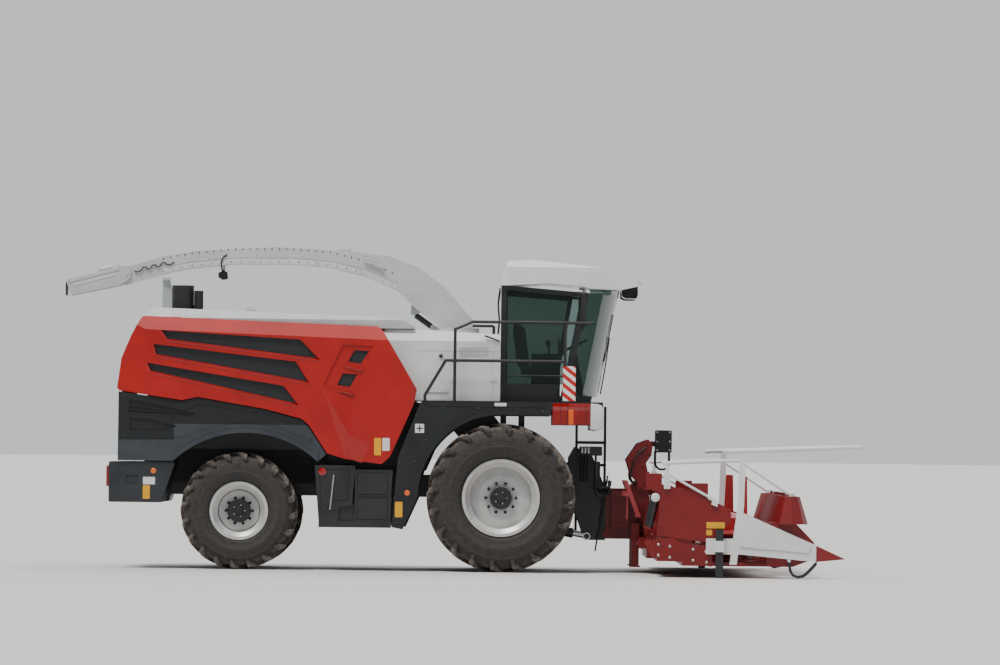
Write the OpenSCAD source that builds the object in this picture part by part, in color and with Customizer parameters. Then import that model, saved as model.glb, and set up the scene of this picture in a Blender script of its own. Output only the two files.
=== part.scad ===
// Self-propelled forage harvester with a folding rotary maize header.
// Millimetres. X runs forwards, Y to the left and Z up from the ground.
// Outlines of the sides are drawn from the front axle, which stands axle_x in front of the origin.

/* [Running gear] */
// Distance between the axles
wheelbase = 3400; // [3360:5:3440]
// Radius of a front tyre out to its lugs
front_tyre_r = 965; // [950:5:975]
// Width of a front tyre
front_tyre_w = 700; // [680:5:710]
// Distance of a front tyre's middle from the machine's middle
front_half_track = 1285; // [1275:5:1300]
// Radius of a rear tyre out to its lugs
rear_tyre_r = 760; // [750:5:765]
// Width of a rear tyre
rear_tyre_w = 560; // [540:5:570]
// Distance of a rear tyre's middle from the machine's middle
rear_half_track = 1150; // [1140:5:1160]
// Radius of the front rim where the tyre sits
front_seat_r = 480; // [475:1:485]
// Radius of the rear rim where the tyre sits
rear_seat_r = 355; // [350:1:360]
// Height of a tread lug
lug_h = 48; // [40:1:52]
// Number of lugs on each side of a tyre
lug_count = 20; // [18:1:22]
// Wall of a rim
rim_t = 16; // [12:1:18]
// Radius of the stub that a wheel turns on
stub_r = 70; // [66:1:74]
// Distance of a steering pivot from the machine's middle
kingpin_y = 880; // [875:5:885]
// Radius of a steering pivot
kingpin_r = 45; // [42:1:48]
// Length of a steering arm
steer_arm = 200; // [190:5:210]

/* [Body] */
// Distance of a side panel's face from the machine's middle
body_half_w = 1480; // [1475:5:1500]
// Thickness of a side panel
panel_t = 60; // [50:2:64]
// Height where a side panel's shoulder starts, at mid length
shoulder_z = 3050; // [3030:5:3070]
// Depth of the long recesses in a side panel
slot_depth = 42; // [36:1:46]
// Height of the frame rails' underside
rail_z = 960; // [950:5:970]
// Height of a frame rail
rail_h = 220; // [210:5:230]
// Distance of a frame rail's outer face from the machine's middle
rail_y = 370; // [360:5:375]
// Thickness of a frame rail
rail_t = 120; // [100:5:125]
// Radius of the bore for the drawbar pin
hitch_pin_r = 16; // [14:1:18]
// Diameter of a handrail
rail_d = 40; // [36:1:42]

/* [Cab] */
// Half width of the cab
cab_half_w = 880; // [870:5:890]
// Half width of the cab roof
roof_half_w = 960; // [950:5:970]
// Thickness of the cab's pillars and walls
cab_t = 50; // [46:1:54]
// Thickness of the glass
glass_t = 10; // [8:1:12]
// Lean of the windscreen in degrees
screen_lean = 11; // [10:0.5:12]

/* [Spout] */
// Half width of the spout's arm
spout_half_w = 170; // [160:5:180]
// Wall of the spout
spout_t = 14; // [12:1:16]
// Place of the slewing axis along the machine
slew_x = -600; // [-605:1:-595]
// Radius of the turntable
turntable_r = 290; // [280:5:300]
// Radius of the lift cylinder's barrel
lift_barrel_r = 38; // [36:1:42]
// Radius of the lift cylinder's rod
lift_rod_r = 20; // [18:1:22]

/* [Header] */
// Working width of the header
header_w = 7500; // [7500:10:7560]
// Width of the header's middle section
centre_w = 3000; // [3000:5:3010]
// Radius of a middle rotor out to its teeth
small_rotor_r = 350; // [340:5:355]
// Radius of a wing rotor out to its teeth
large_rotor_r = 490; // [480:5:494]
// Place of the rotors' axes in front of the front axle
rotor_x = 2980; // [2975:1:2990]
// Height of the lowest knife disc
knife_z = 225; // [222:1:230]
// Thickness of a toothed disc
disc_t = 12; // [10:1:14]
// Distance of a wing's hinge from the machine's middle
wing_hinge_y = 1250; // [1245:1:1255]
// Height of a wing's hinge
wing_hinge_z = 620; // [615:1:625]
// Radius of a wing's hinge pin
wing_pin_r = 30; // [28:1:34]
// Radius of a header lift cylinder's barrel
ram_barrel_r = 60; // [56:1:64]
// Radius of a header lift cylinder's rod
ram_rod_r = 35; // [32:1:38]

/* [Hidden] */
$fn = 48;
fit = 0.05;
seat_gap = 0.3;
bend_swell = 3;
axle_x = 602;
rear_x = -wheelbase;
housing_half_w = body_half_w - 200;
deck_half_w = body_half_w - 230;

// helpers for outlines
module flat(y0, y1) { translate([0, y1, 0]) rotate([90, 0, 0]) linear_extrude(y1 - y0) children(); }
module plan(z0, z1) { translate([0, 0, z0]) linear_extrude(z1 - z0) children(); }
module across(x0, x1) { translate([x0, 0, 0]) rotate([90, 0, 90]) linear_extrude(x1 - x0) children(); }
module right() { mirror([0, 1, 0]) children(); }
module both() { children(); right() children(); }
module block(a, b) { translate(a) cube(b - a); }
module soft(r) { offset(r) offset(-2 * r) offset(r) children(); }
module rod(a, b, d) {
  v = b - a;
  translate(a) rotate([0, acos(v.z / norm(v)), atan2(v.y, v.x)]) cylinder(d = d, h = norm(v));
}
module pipe(points, d) {
  for (i = [1:len(points) - 1]) rod(points[i - 1], points[i], d);
  if (len(points) > 2) for (i = [1:len(points) - 2]) translate(points[i]) sphere(d = d + bend_swell);
}
module pin_y(x, z, y0, y1, r) { translate([x, y0, z]) rotate([-90, 0, 0]) cylinder(r = r, h = y1 - y0); }
module pin_z(x, y, z0, z1, r) { translate([x, y, z0]) cylinder(r = r, h = z1 - z0); }
module at_front(y) { translate([0, y, front_tyre_r]) children(); }
module at_rear(y) { translate([rear_x, y, rear_tyre_r]) children(); }
module turned() { rotate([-90, 0, 0]) children(); }

// wheels, drawn with the axle along Y and the outer side at +Y
bead = 0.78;
tyre_form = [[0, bead], [0.08, bead], [0.16, 0.91], [0.42, 1], [0.72, 0.97], [0.90, 0.86], [1, 0.60]];
module tyre(r, w, seat_r) {
  carcass = r - lug_h;
  side = [for (f = tyre_form) [seat_r + seat_gap + f.x * (carcass - seat_r), f.y * w / 2]];
  ring = concat(side, [for (i = [len(side) - 1:-1:0]) [side[i].x, -side[i].y]]);
  color("#1d1d1e") {
    turned() rotate_extrude($fn = 96) polygon(ring);
    intersection() {
      for (s = [-1, 1], i = [0:lug_count - 1])
        rotate([0, 360 / lug_count * (i + (s + 1) / 4), 0]) lug(r, w, s);
      turned() rotate_extrude($fn = 96) polygon([
        [seat_r + 40, -w / 2 + 4], [r - 120, -w / 2 + 4], [r - 30, -w / 2 + 26], [r, -w / 2 + 100],
        [r, w / 2 - 100], [r - 30, w / 2 - 26], [r - 120, w / 2 - 4], [seat_r + 40, w / 2 - 4]
      ]);
    }
  }
}
module lug(r, w, s) {
  sweep = 0.34 * w;
  bar = 62;
  points = [[-bar / 2, -s * 14], [bar / 2, -s * 14], [sweep * 0.62 + bar / 2, s * w / 4],
    [sweep + bar / 2, s * w / 2], [sweep - bar / 2, s * w / 2], [sweep * 0.62 - bar / 2, s * w / 4]];
  translate([0, 0, r - lug_h - 70]) linear_extrude(lug_h + 80) polygon(points);
}
// the disc's place and hub: face of the disc, face of the hub cap, its radius, bolts
module rim(seat_r, half_w, disc_y, cap_y, cap_r, bolt_r, bolts) {
  flange_r = seat_r + 24;
  well_r = seat_r - 62;
  well_w = half_w - 120;
  color("#c9cbcc") {
    turned() rotate_extrude($fn = 96) polygon([
      [flange_r, -half_w - 16], [flange_r, -half_w], [seat_r, -half_w], [seat_r, -well_w - 40],
      [well_r, -well_w], [well_r, well_w], [seat_r, well_w + 40], [seat_r, half_w],
      [flange_r, half_w], [flange_r, half_w + 16], [seat_r - rim_t, half_w + 16],
      [seat_r - rim_t, well_w + 46], [well_r - rim_t, well_w + 6], [well_r - rim_t, -well_w - 6],
      [seat_r - rim_t, -well_w - 46], [seat_r - rim_t, -half_w - 16]
    ]);
    difference() {
      union() {
        turned() rotate_extrude($fn = 96) polygon([
          [0, disc_y - rim_t], [well_r - rim_t + 4, disc_y - rim_t - 50],
          [well_r - rim_t + 4, disc_y - 30], [bolt_r + 90, disc_y], [0, disc_y]
        ]);
        turned() cylinder(r = cap_r, h = cap_y);
        for (i = [0:bolts - 1]) rotate([0, 360 / bolts * i, 0])
          translate([bolt_r, 0, 0]) turned() cylinder(r = 16, h = disc_y + 28, $fn = 6);
      }
      translate([0, -1, 0]) turned() cylinder(r = stub_r + fit, h = cap_y - 25);
      for (i = [0:bolts - 1]) rotate([0, 360 / bolts * i, 0])
        translate([bolt_r, 0, 0]) turned() translate([0, 0, -1]) cylinder(r = 30, h = disc_y - rim_t - 10);
    }
  }
}
front_rim_half = bead * front_tyre_w / 2 + seat_gap;
rear_rim_half = bead * rear_tyre_w / 2 + seat_gap;
front_disc_y = 110;
rear_disc_y = 60;
module front_rim() { rim(front_seat_r, front_rim_half, front_disc_y, front_disc_y + 95, 150, 195, 10); }
module rear_rim() { rim(rear_seat_r, rear_rim_half, rear_disc_y, rear_disc_y + 105, 125, 172, 10); }
module front_tyre() { tyre(front_tyre_r, front_tyre_w, front_seat_r); }
module rear_tyre() { tyre(rear_tyre_r, rear_tyre_w, rear_seat_r); }
module front_tyre_left() at_origin() { at_front(front_half_track) front_tyre(); }
module front_tyre_right() { right() front_tyre_left(); }
module rear_tyre_left() at_origin() { at_rear(rear_half_track) rear_tyre(); }
module rear_tyre_right() { right() rear_tyre_left(); }
module front_rim_left() at_origin() { at_front(front_half_track) front_rim(); }
module front_rim_right() { right() front_rim_left(); }
module rear_rim_left() at_origin() { at_rear(rear_half_track) rear_rim(); }
module rear_rim_right() { right() rear_rim_left(); }

// axles and steering
module front_axle() at_origin() {
  color("#26272a") both() {
    block([-140, 0, front_tyre_r - 120], [140, 760, axle_top]);
    for (y = [ram_y - ram_barrel_r - 26, ram_y + ram_barrel_r + 2]) flat(y, y + 24)
      polygon([[-100, 846], [140, 846], [380, 680], [380, 570], [290, 570], [-100, 700]]);
    pin_y(ram_base.x, ram_base.z, ram_y - ram_barrel_r - 25, ram_y + ram_barrel_r + 25, 28);
    at_front(0) turned() {
      translate([0, 0, 700]) cylinder(r = 235, h = front_half_track - 760);
      cylinder(r = stub_r, h = front_half_track + front_disc_y + 95 - 27);
    }
  }
}
fork_h = 150;
module rear_axle() at_origin() {
  color("#26272a") {
    block([rear_x - 90, -650, rear_tyre_r - 90], [rear_x + 90, 650, rear_tyre_r + 90]);
    block([rear_x - 130, -180, rear_tyre_r + 89], [rear_x + 130, 180, rail_z + 40]);
    both() difference() {
      union() {
        block([rear_x - 90, 649, rear_tyre_r - 90], [rear_x + 90, 760, rear_tyre_r + 90]);
        block([rear_x - 70, 740, rear_tyre_r - fork_h], [rear_x + 70, kingpin_y - 70, rear_tyre_r + fork_h]);
        for (z = [-fork_h, fork_h - 50]) {
          pin_z(rear_x, kingpin_y, rear_tyre_r + z, rear_tyre_r + z + 50, 75);
          block([rear_x - 70, kingpin_y - 90, rear_tyre_r + z], [rear_x + 70, kingpin_y, rear_tyre_r + z + 50]);
        }
      }
      pin_z(rear_x, kingpin_y, rear_tyre_r - fork_h - 1, rear_tyre_r + fork_h + 1, kingpin_r + fit);
      block([rear_x - 91, 655, tie_z + 20], [rear_x + 16, kingpin_y - 69, tie_z + 66]);
    }
    difference() {
      union() {
        translate([rear_x - steer_arm, -220, tie_z]) turned() cylinder(r = 48, h = 440);
        block([rear_x - steer_arm, -60, tie_z - 30], [rear_x - 60, 60, tie_z + 50]);
      }
      translate([rear_x - steer_arm, -230, tie_z]) turned() cylinder(r = 24 + fit, h = 460);
    }
  }
}
tie_z = rear_tyre_r - 75;
arm_inset = 80;
module knuckle_left() at_origin() {
  color("#3a3b3e") {
    pin_z(rear_x, kingpin_y, rear_tyre_r - fork_h - 8, rear_tyre_r + fork_h + 8, kingpin_r);
    pin_z(rear_x, kingpin_y, rear_tyre_r - fork_h + 50 + seat_gap, rear_tyre_r + fork_h - 50 - seat_gap, 65);
    at_rear(kingpin_y) turned() cylinder(r = stub_r, h = rear_half_track - kingpin_y + rear_disc_y + 105 - 27);
    plan(tie_z + 26 + seat_gap, tie_z + 60) hull() {
      translate([rear_x, kingpin_y]) circle(r = 50);
      translate([rear_x - steer_arm, kingpin_y - arm_inset]) circle(r = 32);
    }
  }
}
module knuckle_right() { right() knuckle_left(); }
module tie_rod() at_origin() {
  end_y = kingpin_y - arm_inset;
  color("#8f9397") {
    translate([rear_x - steer_arm, -end_y + 30, tie_z]) turned() cylinder(r = 24, h = 2 * end_y - 60);
    both() pin_z(rear_x - steer_arm, end_y, tie_z - 26, tie_z + 26, 30);
  }
}

// structure
module frame() at_origin() {
  color("#2b2c2f") {
    both() {
      block([-4719, rail_y - rail_t, rail_z], [-960, rail_y, rail_z + rail_h]);
      block([-1100, housing_w + seat_gap, axle_top + seat_gap], [300, housing_w + 80, axle_top + 165]);
      for (x = [-20, 220]) block([x, housing_w + 5, axle_top + 164], [x + 80, housing_w + 80, cab_z - seat_gap]);
      block([post_x, rail_y - rail_t, rail_z + rail_h - 1], [post_x + 80, rail_y, 1400]);
      block([post_x, 900, 1480], [post_x + 80, 980, post_top]);
      block([-1900, 900, 1180], [-1820, 980, post_top]);
      block([-1900, 200, rail_z + 40], [-1820, 980, rail_z + rail_h]);
      block([-4571, 640, 1560], [-1819, 655, 2250]);
      for (x = [-4600, -1870]) block([x, 640, 2100], [x + 40, 910, 2180]);
      block([post_x, 900, post_top - 80], [-1820, 980, post_top]);
    }
    block([post_x, -980, 1385 + seat_gap], [post_x + 80, 980, 1481]);
    for (x = [-2500, -1750]) block([x, 1 - rail_y, rail_z + 30], [x + 120, rail_y - 1, rail_z + 190]);
    block([rear_x - 150, 1 - rail_y, rail_z + 40 + seat_gap], [rear_x + 150, rail_y - 1, rail_z + 190]);
    block([post_x, -980, post_top - 80], [post_x + 80, 980, post_top]);
    block([-1900, -980, post_top - 80], [-1820, 980, post_top]);
    block([-1100, -housing_w - 80, rail_z], [-950, housing_w + 80, axle_top + 165]);
    block([-1550, -850, rail_z + rail_h - 1], [-1350, 850, platform_z]);
  }
}
post_top = 3150;
post_x = -4625;
platform_z = 2220;
cab_z = 2222;
housing_w = 400;
axle_top = front_tyre_r + 120;
module engine() at_origin() {
  color("#6d7073") {
    block([-3150, -620, 1600], [-2350, 620, 2500]);
    both() block([-3000, rail_y - rail_t + 10, rail_z + rail_h], [-2500, rail_y - 10, 1601]);
  }
}
module chopper_housing() at_origin() {
  color("#2b2c2f") {
    flat(-housing_w, housing_w) polygon([
      [820, 1400], [820, 1000], [600, 700], [260, 700], [220, 1130], [-350, 1500],
      [-900, 2150], [-900, 2220], [-250, 2220], [150, 1720], [500, 1620]
    ]);
    pin_y(feeder_x, feeder_z, -460, 460, 60);
  }
}
feeder_x = 560;
feeder_z = 1180;

// body
deck_front = -1357;
deck_rear = -4700;
module hood_deck() at_origin() {
  color("#b9bcbd") difference() {
    intersection() {
      flat(-deck_half_w, deck_half_w) polygon([[deck_rear, 3150 + seat_gap], [deck_rear, 3300],
        [-4514, 3393], [deck_front, 3289], [-1150, 3180], [-1150, 3150 + seat_gap]]);
      across(-5000, 0) polygon([[-deck_half_w, 3000], [-deck_half_w, 3260], [-deck_half_w + 110, 3420],
        [deck_half_w - 110, 3420], [deck_half_w, 3260], [deck_half_w, 3000]]);
    }
    block([deck_rear + 100, -deck_half_w + 160, 3000], [-1800, deck_half_w - 160, 3210]);
    for (x = [-3700, -2500]) intersection() {
      block([x, -880, 3290], [x + 1000, 880, 3400]);
      flat(-880, 880) polygon([[-4514, 3378], [deck_front, 3274], [deck_front, 3500], [-4514, 3500]]);
    }
  }
  color("#b9bcbd") for (x = [-3700, -2500], i = [0:9]) intersection() {
    block([x + 30 + 95 * i, -860, 3250], [x + 80 + 95 * i, 860, 3400]);
    flat(-880, 880) polygon([[-4514, 3370], [deck_front, 3266], [deck_front, 3283], [-4514, 3387]]);
  }
  color("#b9bcbd") both() for (x = hinge_xs) {
    for (e = [-60, 36]) block([x + e, deck_half_w - 1, hinge_z(x) - 20], [x + e + 24, hinge_y + 18, hinge_z(x) + 20]);
    along_hinge(x, 120, hinge_pin_r);
  }
}
hinge_xs = [-4250, -2050];
hinge_y = deck_half_w + 28;
hinge_pin_r = 9;
hinge_slope = atan2(106, 3059);
function hinge_z(x) = 3216 - (x + 3150) * tan(hinge_slope);
module along_hinge(x, l, r) {
  translate([x, hinge_y, hinge_z(x)]) rotate([0, 90 + hinge_slope, 0]) translate([0, 0, -l / 2]) cylinder(r = r, h = l);
}
module white_housing() at_origin() {
  color("#dcdedd") {
    difference() {
      flat(-housing_half_w, housing_half_w) soft(20) polygon([
        [-1540, platform_z + seat_gap], [-1540, 3140], [-1102, 3140], [-25 - seat_gap, 3089],
        [-25 - seat_gap, platform_z + seat_gap]
      ]);
      both() across(-2000, 100) polygon([[housing_half_w - 120, 3200], [housing_half_w + 10, 3200],
        [housing_half_w + 10, 2980]]);
      both() {
        for (x = [-640, -125]) block([x, housing_half_w - 8, 2200], [x + 10, housing_half_w + 5, 2860]);
        block([-1100, housing_half_w - 8, 2860], [0, housing_half_w + 5, 2870]);
        flat(housing_half_w - 12, housing_half_w + 5) soft(10) polygon([[-1010, 2330], [-700, 2330], [-700, 2250], [-1010, 2250]]);
        for (i = [0:4]) block([-560, housing_half_w - 14, 2900 - 26 * i], [-180, housing_half_w + 5, 2912 - 26 * i]);
      }
    }
    pin_z(slew_x, 0, 3080, 3160, turntable_r);
    both() for (q = [[-640, 2480], [-640, 2740], [-125, 2480]])
      block([q[0] - 34, housing_half_w - 5, q[1]], [q[0] + 44, housing_half_w + 12, q[1] + 46]);
  }
}
// outer line of the grille, as X, Z, just inside the side panels' rear edge
grille_line = [[-4945, 1420], [-4945, 2400], [-4890, 2735], [-4762, 3030], [-4700, 3150]];
grille_t = 70;
module grille_bars(z0, z1, step) {
  for (z = [z0:step:z1]) block([-5000, -1080, z], [-4600, 1080, z + step - 50]);
}
module rear_grille() at_origin() {
  color("#1f2022") {
    difference() {
      flat(-1225, 1225) polygon(concat(grille_line, [for (i = [4:-1:0]) grille_line[i] + [grille_t, 0]]));
      grille_bars(1560, 3080, 110);
    }
    flat(-1090, 1090) polygon(concat([for (q = grille_line) q + [grille_t - 22, 0]],
      [for (i = [4:-1:0]) grille_line[i] + [grille_t - 6, 0]]));
    for (y = [-540, 0, 540]) flat(y - 20, y + 20)
      polygon(concat([for (q = grille_line) q + [8, 0]], [for (i = [4:-1:0]) grille_line[i] + [grille_t - 10, 0]]));
    both() block([-4900, 900, 1900], [post_x - seat_gap, 980, 2000]);
    for (z = [[1420, 1500], [2100, 2200]])
      block([-4945, seat_gap - body_half_w + panel_t, z[0]], [-4881, body_half_w - panel_t - seat_gap, z[1]]);
  }
}
arch_x = rear_x + 84;
arch_z = 396;
arch_r = 1376;
module arch_ring(r0, r1) {
  difference() {
    circle(r = r1, $fn = 96);
    circle(r = r0, $fn = 96);
  }
}
module rear_skirts() at_origin() {
  skirt_y = body_half_w - 30;
  color("#232427") both() {
    difference() {
      union() {
        flat(body_half_w - panel_t, skirt_y) polygon([
          [-4978, 1398], [-4975, 2292], [-4147, 2174], [-3949, 2219], [-3076, 2073], [-2596, 1952],
          [-2512, 1869], [-2272, 1505], [-2386, 1403]
        ]);
        flat(skirt_y - 1, skirt_y + 14) polygon([[-4978, 1398], [-4965, 1652], [-4104, 1698], [-3900, 1800],
          [-3414, 1900], [-3000, 1500], [-4246, 1398]]);
        flat(skirt_y - 1, skirt_y + 10) polygon([[-4290, 1960], [-3950, 2150], [-3076, 2030], [-2700, 1905],
          [-2640, 1955], [-3076, 2073], [-3949, 2219], [-4147, 2174]]);
      }
      translate([arch_x, 0, arch_z]) rotate([90, 0, 0]) cylinder(r = arch_r, h = 4000, center = true, $fn = 96);
      flat(skirt_y - 22, skirt_y + 20) polygon([[-4835, 2190], [-4560, 2150], [-3960, 2010], [-4090, 1985], [-4835, 2030]]);
      flat(skirt_y - 22, skirt_y + 20) polygon([[-4822, 1950], [-4600, 1945], [-4204, 1850], [-4400, 1790], [-4822, 1790]]);
    }
    for (z = [2060, 2110]) flat(skirt_y - 24, skirt_y - 8) polygon([[-4830, z], [-4200, z - 70], [-4200, z - 58], [-4830, z + 18]]);
    flat(body_half_w - panel_t - 60, body_half_w) intersection() {
      translate([arch_x, arch_z]) arch_ring(arch_r, arch_r + 60);
      polygon([[-4246, 1424], [-4246, 2100], [-2300, 2100], [-2386, 1403]]);
    }
    flat(body_half_w - panel_t - 60, body_half_w - 14) intersection() {
      translate([arch_x, arch_z]) arch_ring(arch_r + 59, arch_r + 120);
      polygon([[-4100, 1698], [-4246, 2100], [-2300, 2100], [-2386, 1450]]);
    }
  }
}
module rear_box() at_origin() {
  color("#2a2b2e") {
    difference() {
      flat(-1440, 1440) soft(25) polygon([[-5091, 1385], [-4232, 1385], [-4406, 857], [-5091, 857]]);
      block([-4719 - seat_gap, -500, 800], [-4000, 500, 1400]);
      both() {
        flat(1425, 1450) soft(12) polygon([[-4870, 1210], [-4700, 1210], [-4730, 1090], [-4870, 1090]]);
        block([-5100, 560, 900], [-5070, 1080, 1330]);
      }
      block([-5100, -480, 1150], [-5075, 480, 1340]);
    }
    // hitch jaw of the drawbar pin
    difference() {
      union() {
        block([-5145, -90, hitch_z - 75], [-5080, 90, hitch_z + 75]);
        block([-5160, -60, hitch_z - 75], [-5100, 60, hitch_z + 75]);
      }
      block([-5200, -60, hitch_z - 35], [-5100, 60, hitch_z + 35]);
      pin_z(-5128, 0, hitch_z - 80, hitch_z + 80, hitch_pin_r);
    }
  }
}
hitch_z = 960;
module side_boxes() at_origin() {
  both() {
    color("#5b5e61") {
      difference() {
        flat(1000, 1445) soft(12) polygon([[-2420, 1365], [-1890, 1365], [-1930, 853], [-2107, 830],
          [-2107, 640], [-2362, 640]]);
        flat(1432, 1450) soft(10) polygon([[-2370, 1320], [-1960, 1320], [-1985, 900], [-2170, 900],
          [-2330, 700]]);
      }
      flat(1431, 1441) soft(8) polygon([[-2350, 1300], [-1980, 1300], [-2000, 925], [-2180, 920], [-2320, 730]]);
    }
    color("#1f2022") {
      difference() {
        flat(1000, 1440) polygon([[-1895, 1313], [-1405, 1313], [-1440, 640], [-1895, 640]]);
        for (z = [985, 660]) block([-1870, 1428, z], [-1460, 1450, z + 300]);
      }
      for (z = [1000, 675]) block([-1855, 1420, z], [-1475, 1437, z + 270]);
      block([-1880, 1439, 968], [-1450, 1448, 982]);
      block([-2120, 1060, 640], [-1880, 1400, 860]);
      block([-2362, 1000, 560], [-1425, 1445, 641]);
      for (x = [-2250, -1700]) block([x, rail_y + seat_gap, rail_z + 60], [x + 120, 1010, rail_z + 160]);
      rod([-2170, 1436, 1240], [-2215, 1436, 790], 22);
    }
    color("#b3241c") translate([-2320, 1432, 1280]) turned() cylinder(r = 46, h = 20);
  }
}
fender_r = 1075;
module fender_outline() {
  polygon([
    [1312, platform_z], [1312, 2110], [640, 2110], [640, 2040], [0, 2040],
    [-520, 1900], [-798, 1618], [-991, 1165], [-1271, 542], [-1413, 569], [-1343, 1470],
    [-1075, 2150], [-1035, platform_z]
  ]);
}
module fenders() at_origin() {
  color("#2f3134") both() {
    flat(body_half_w - panel_t, body_half_w) difference() {
      fender_outline();
      translate([0, front_tyre_r]) circle(r = fender_r, $fn = 96);
    }
    block([-1030, 900, 2180], [1300, body_half_w, platform_z]);
    flat(body_half_w - 1, body_half_w + 14) difference() {
      intersection() {
        fender_outline();
        translate([0, front_tyre_r]) circle(r = fender_r + 62, $fn = 96);
        translate([-1600, 400]) square([2240, 1700]);
      }
      translate([0, front_tyre_r]) circle(r = fender_r + 6, $fn = 96);
    }
    flat(body_half_w - 1, body_half_w + 10) polygon([[-1010, 2205], [560, 2205], [560, 2150], [-930, 2150]]);
    flat(945, body_half_w) intersection() {
      difference() {
        fender_outline();
        translate([0, front_tyre_r]) circle(r = fender_r, $fn = 96);
      }
      difference() {
        polygon([[-1500, 500], [-1500, 2300], [700, 2300], [700, 1900], [-200, 1700]]);
        translate([0, front_tyre_r]) circle(r = fender_r + 40, $fn = 96);
        translate([-2750, 0]) square([2000, 2600]);
      }
    }
  }
}
module ladder() at_origin() {
  color("#2b2c2f") {
    for (x = [985, 1365]) block([x, body_half_w - 360, 480], [x + 35, body_half_w - 280, platform_z - 40 - seat_gap]);
    for (z = [480:300:1700]) block([985, body_half_w - 430, z], [1400, body_half_w - 180, z + 40]);
  }
}
module rails() at_origin() {
  color("#1c1d1f") for (s = [-1, 1]) {
    y = s * (body_half_w - 40);
    front = s < 0 ? 814 : -120;
    foot = platform_z + seat_gap;
    pipe([[front, y, 2743], [-736, y, 2743], [-1000, y, 2290], [-1000, y, foot]], rail_d);
    pipe([[-616, y, foot], [-616, y, 3150], [-391, y, 3247], [s < 0 ? 1180 : front, y, 3247]], rail_d);
    rod([front, y, foot], [front, y, 3247], rail_d);
    flat(min(y, y + s * 22), max(y, y + s * 22))
      polygon([[s < 0 ? 784 : 860, foot], [s < 0 ? 956 : 1000, foot], [s < 0 ? 956 : 1000, 2691], [s < 0 ? 784 : 860, 2691]]);
    mount = s * (cab_half_w + seat_gap);
    flat(min(mount, s * 960), max(mount, s * 960)) translate([965, 3630]) circle(r = 16);
    rod([965, s * 955, 3630], [1045, s * 1200, 3600], 30);
    difference() {
      across(1010, 1084) translate([s * 1240, 3435]) offset(36) square([108, 380], center = true);
      across(1000, 1020) translate([s * 1240, 3435]) offset(24) square([104, 376], center = true);
    }
  }
}
roof_lamp_ys = [-760, -560, 560, 760];
module lamps() at_origin() {
  color("#b3241c") both() {
    block([660, 1440, 1925], [1150, body_half_w + 12, 2110 - seat_gap]);
    for (x = [668:24:1130]) block([x, body_half_w + 11, 1940], [x + 12, body_half_w + 18, 2096]);
    block([-5121, 1150, 1060], [-5091 - seat_gap, 1400, 1330]);
    for (y = [1165:30:1380]) block([-5126, y, 1075], [-5120, y + 15, 1315]);
  }
  color("#1f2022") for (y = roof_lamp_ys) flat(y - 75, y + 75)
    polygon([[1552, 3695.5], [1552, 3612], [1600, 3585], [1740, 3585], [1760, 3622], [1760, 3740.9]]);
  color("#e4e6e5") both() {
    difference() {
      intersection() {
        plan(1860, 2110 - seat_gap) offset(70) offset(-70) polygon([[1149, 1180], [1312, 1180], [1312, body_half_w], [1149, body_half_w]]);
        flat(1000, 1600) polygon([[1149, 1851], [1240, 1870], [1312, 1960], [1312, 2200], [1149, 2200]]);
      }
      block([1296, 1225, 1940], [1330, 1435, 2060]);
    }
    block([1290, 1240, 1955], [1304, 1420, 2045]);
  }
}
function deck_top(x) = 3393 - (x + 4514) * 104 / 3157;
module above_deck() {
  intersection() {
    children();
    flat(-deck_half_w, deck_half_w) polygon([[-4514, deck_top(-4514) + seat_gap], [-4514, 5000],
      [deck_front, 5000], [deck_front, deck_top(deck_front) + seat_gap]]);
  }
}
module air_cleaner() at_origin() {
  color("#1c1d1f") above_deck() {
    pin_z(-4199, -500, 3300, 3697, 144);
    pin_z(-3990, -560, 3300, 3628, 60);
    block([-4060, -570, 3300], [-3980, -500, 3440]);
  }
}
rest_x = -4440;
module spout_rest() at_origin() {
  color("#d5d7d6") above_deck() {
    rod([rest_x + 43, 0, 3300], [rest_x, 0, 3800], 80);
    block([rest_x - 60, -150, 3300], [rest_x + 140, 150, 3410]);
    block([rest_x - 50, -200, 3770], [rest_x + 50, 200, 3810]);
    for (y = [-150, 130]) flat(y, y + 20) polygon([[rest_x + 120, 3400], [rest_x - 50, 3400], [rest_x - 45, 3780], [rest_x + 40, 3780]]);
  }
}

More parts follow.
